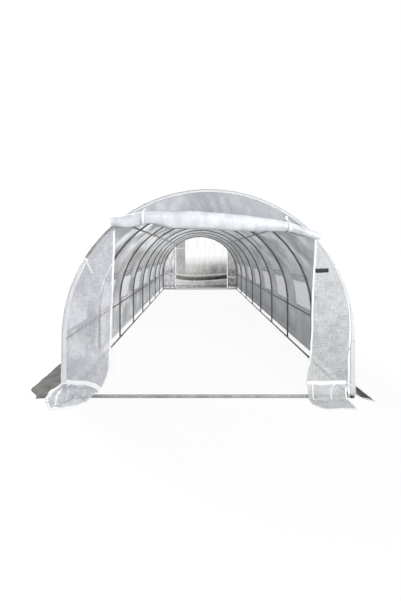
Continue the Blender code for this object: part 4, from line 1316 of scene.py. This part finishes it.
def collarPatch(centre, hoop, inward, radius):   # a sleeve over the joint of two rail tubes, past a hoop
    up = np.cross(inward, [0, 1.0, 0])
    line = np.array([[centre[0], hoop + fittings["collarStart"] + d, centre[2]]
                     for d in fittings["collarStops"]])
    grow = np.array(fittings["collarGrow"])
    turn = np.linspace(0, wholeTurn, 17)
    ring = np.cos(turn)[None, :, None] * inward + np.sin(turn)[None, :, None] * up
    place = line[:, None, :] + radius * grow[:, None, None] * ring
    place[..., 2] = np.maximum(place[..., 2], 0.0)   # pressed flat where it lies on the ground
    return patchOf(place, (turn[None, :] * 0.01, grow[:, None]))


def makeFrameFittings():
    bolts, collars = [], []
    for kind in ("base_rail", "middle_rail", "purlin"):
        for hand, side in hands:
            centre = np.array(middleOf(f"{kind}_{hand}"))
            low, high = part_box(f"{kind}_{hand}")
            inward, size = np.array([-side, 0.0, 0.0]), high.x - low.x
            if kind == "purlin":
                inward, size = -np.array([centre[0], 0, centre[2] - springHeight]), fittings["purlinSize"]
                inward = inward / np.linalg.norm(inward)
            for hoop in hoopPlaces:
                bolts += boltPatches(np.array([centre[0], hoop, centre[2]]) + inward * size / 2, inward)
            collars += [collarPatch(centre, hoop, inward, size / 2 * 1.09 + 0.0006)
                        for hoop in hoopPlaces[1:-1]]
    for hand, side in hands:
        leg = np.array([side * hoopRadius, 0, fittings["jointBolt"]])
        inward, outward = np.array([-side, 0.0, 0.0]), np.array([0.0, -1.0, 0.0])
        for hoop in hoopPlaces:
            bolts += boltPatches(leg + [0, hoop, 0] + inward * tubeSize / 2, inward)
        bolts += boltPatches(leg + [0, hoopPlaces[0] - tubeSize / 2, 0], outward)
    makePiece("rail_bolts", bolts, boltSteel, "frame_and_cover", smooth=False)
    makePiece("rail_joint_collars", collars, tubeSteel, "frame_and_cover")


makeFrameFittings()
print("frame finished")


# Floor, light and camera

studio = {
    "floor": 60, "floorDrop": 0.0005, "floorGrey": "#B9B9B9", "floorPale": "#F6F6F6", "floorWhite": 0.92,
    "sky": 0.36, "skyColour": "#EEF2F8", "sun": 4.6, "sunTurn": (53, 0, 219), "sunSoft": 26, "fill": 620,
}


def makeFloor():
    mesh = bpy.data.meshes.new("floor")
    corners = [(a * studio["floor"], b * studio["floor"], -studio["floorDrop"])
               for a, b in ((-1, -1), (1, -1), (1, 1), (-1, 1))]
    mesh.from_pydata(corners, [], [(0, 1, 2, 3)])
    floor = bpy.data.objects.new("floor", mesh)
    bpy.context.collection.objects.link(floor)
    paper = newMaterial("white_studio_floor")   # the camera sees it nearly white, with the shadow on it
    seen = addNode(paper, "LightPath", out="Is Camera Ray")
    matt = addNode(paper, "BsdfDiffuse", {"Color": colourOf(studio["floorGrey"])})
    pale = addNode(paper, "BsdfDiffuse", {"Color": colourOf(studio["floorPale"])})
    white = addNode(paper, "Emission", {"Color": (1, 1, 1, 1), "Strength": 1.0})
    shown = addNode(paper, "MixShader", {0: studio["floorWhite"], 1: pale, 2: white})
    both = addNode(paper, "MixShader", {0: seen, 1: matt, 2: shown})
    addNode(paper, "OutputMaterial", {"Surface": both}, None)
    mesh.materials.append(paper)


def makeWorld():
    world = bpy.data.worlds.new("studio")
    bpy.context.scene.world = world
    world.use_nodes = True
    world.node_tree.nodes.clear()
    path = addNode(world, "LightPath", out=None).outputs
    seen = addNode(world, "Math", {0: path["Is Camera Ray"], 1: path["Is Glossy Ray"]}, operation="MAXIMUM")
    seen = addNode(world, "Math", {0: seen, 1: path["Is Transmission Ray"]}, operation="MAXIMUM")
    soft = addNode(world, "Math", {0: 1.0, 1: path["Is Diffuse Ray"]}, operation="SUBTRACT")
    seen = addNode(world, "Math", {0: seen, 1: soft}, operation="MULTIPLY")
    sky = addNode(world, "Background", {"Color": colourOf(studio["skyColour"]), "Strength": studio["sky"]})
    white = addNode(world, "Background", {"Color": (1, 1, 1, 1), "Strength": 1.0})
    both = addNode(world, "MixShader", {0: seen, 1: sky, 2: white})
    addNode(world, "OutputWorld", {"Surface": both}, None)


def addLamp(name, kind, place, turn, energy, **settings):
    lamp = bpy.data.lights.new(name, kind)
    lamp.energy = energy
    for key, value in settings.items():
        setattr(lamp, key, value)
    item = bpy.data.objects.new(name, lamp)
    item.location = place
    item.rotation_euler = [math.radians(a) for a in turn]
    bpy.context.collection.objects.link(item)


makeFloor()
makeWorld()
addLamp("high_left_light", "SUN", (-6, 6, 8), studio["sunTurn"], studio["sun"],
        angle=math.radians(studio["sunSoft"]))
addLamp("front_fill", "AREA", (3.2, -10.5, 4.0), (70, 0, 17), studio["fill"],
        shape="RECTANGLE", size=6, size_y=4)

cameraData = bpy.data.cameras.new("camera")
cameraData.lens = 16.05
cameraData.shift_x, cameraData.shift_y = 0.0058, -0.0807
camera = bpy.data.objects.new("camera", cameraData)
camera.location = (-0.12, -6.76, 1.50)
camera.rotation_euler = (math.radians(90), 0, 0)
bpy.context.collection.objects.link(camera)
bpy.context.scene.camera = camera
bpy.context.scene.view_settings.view_transform = "Standard"
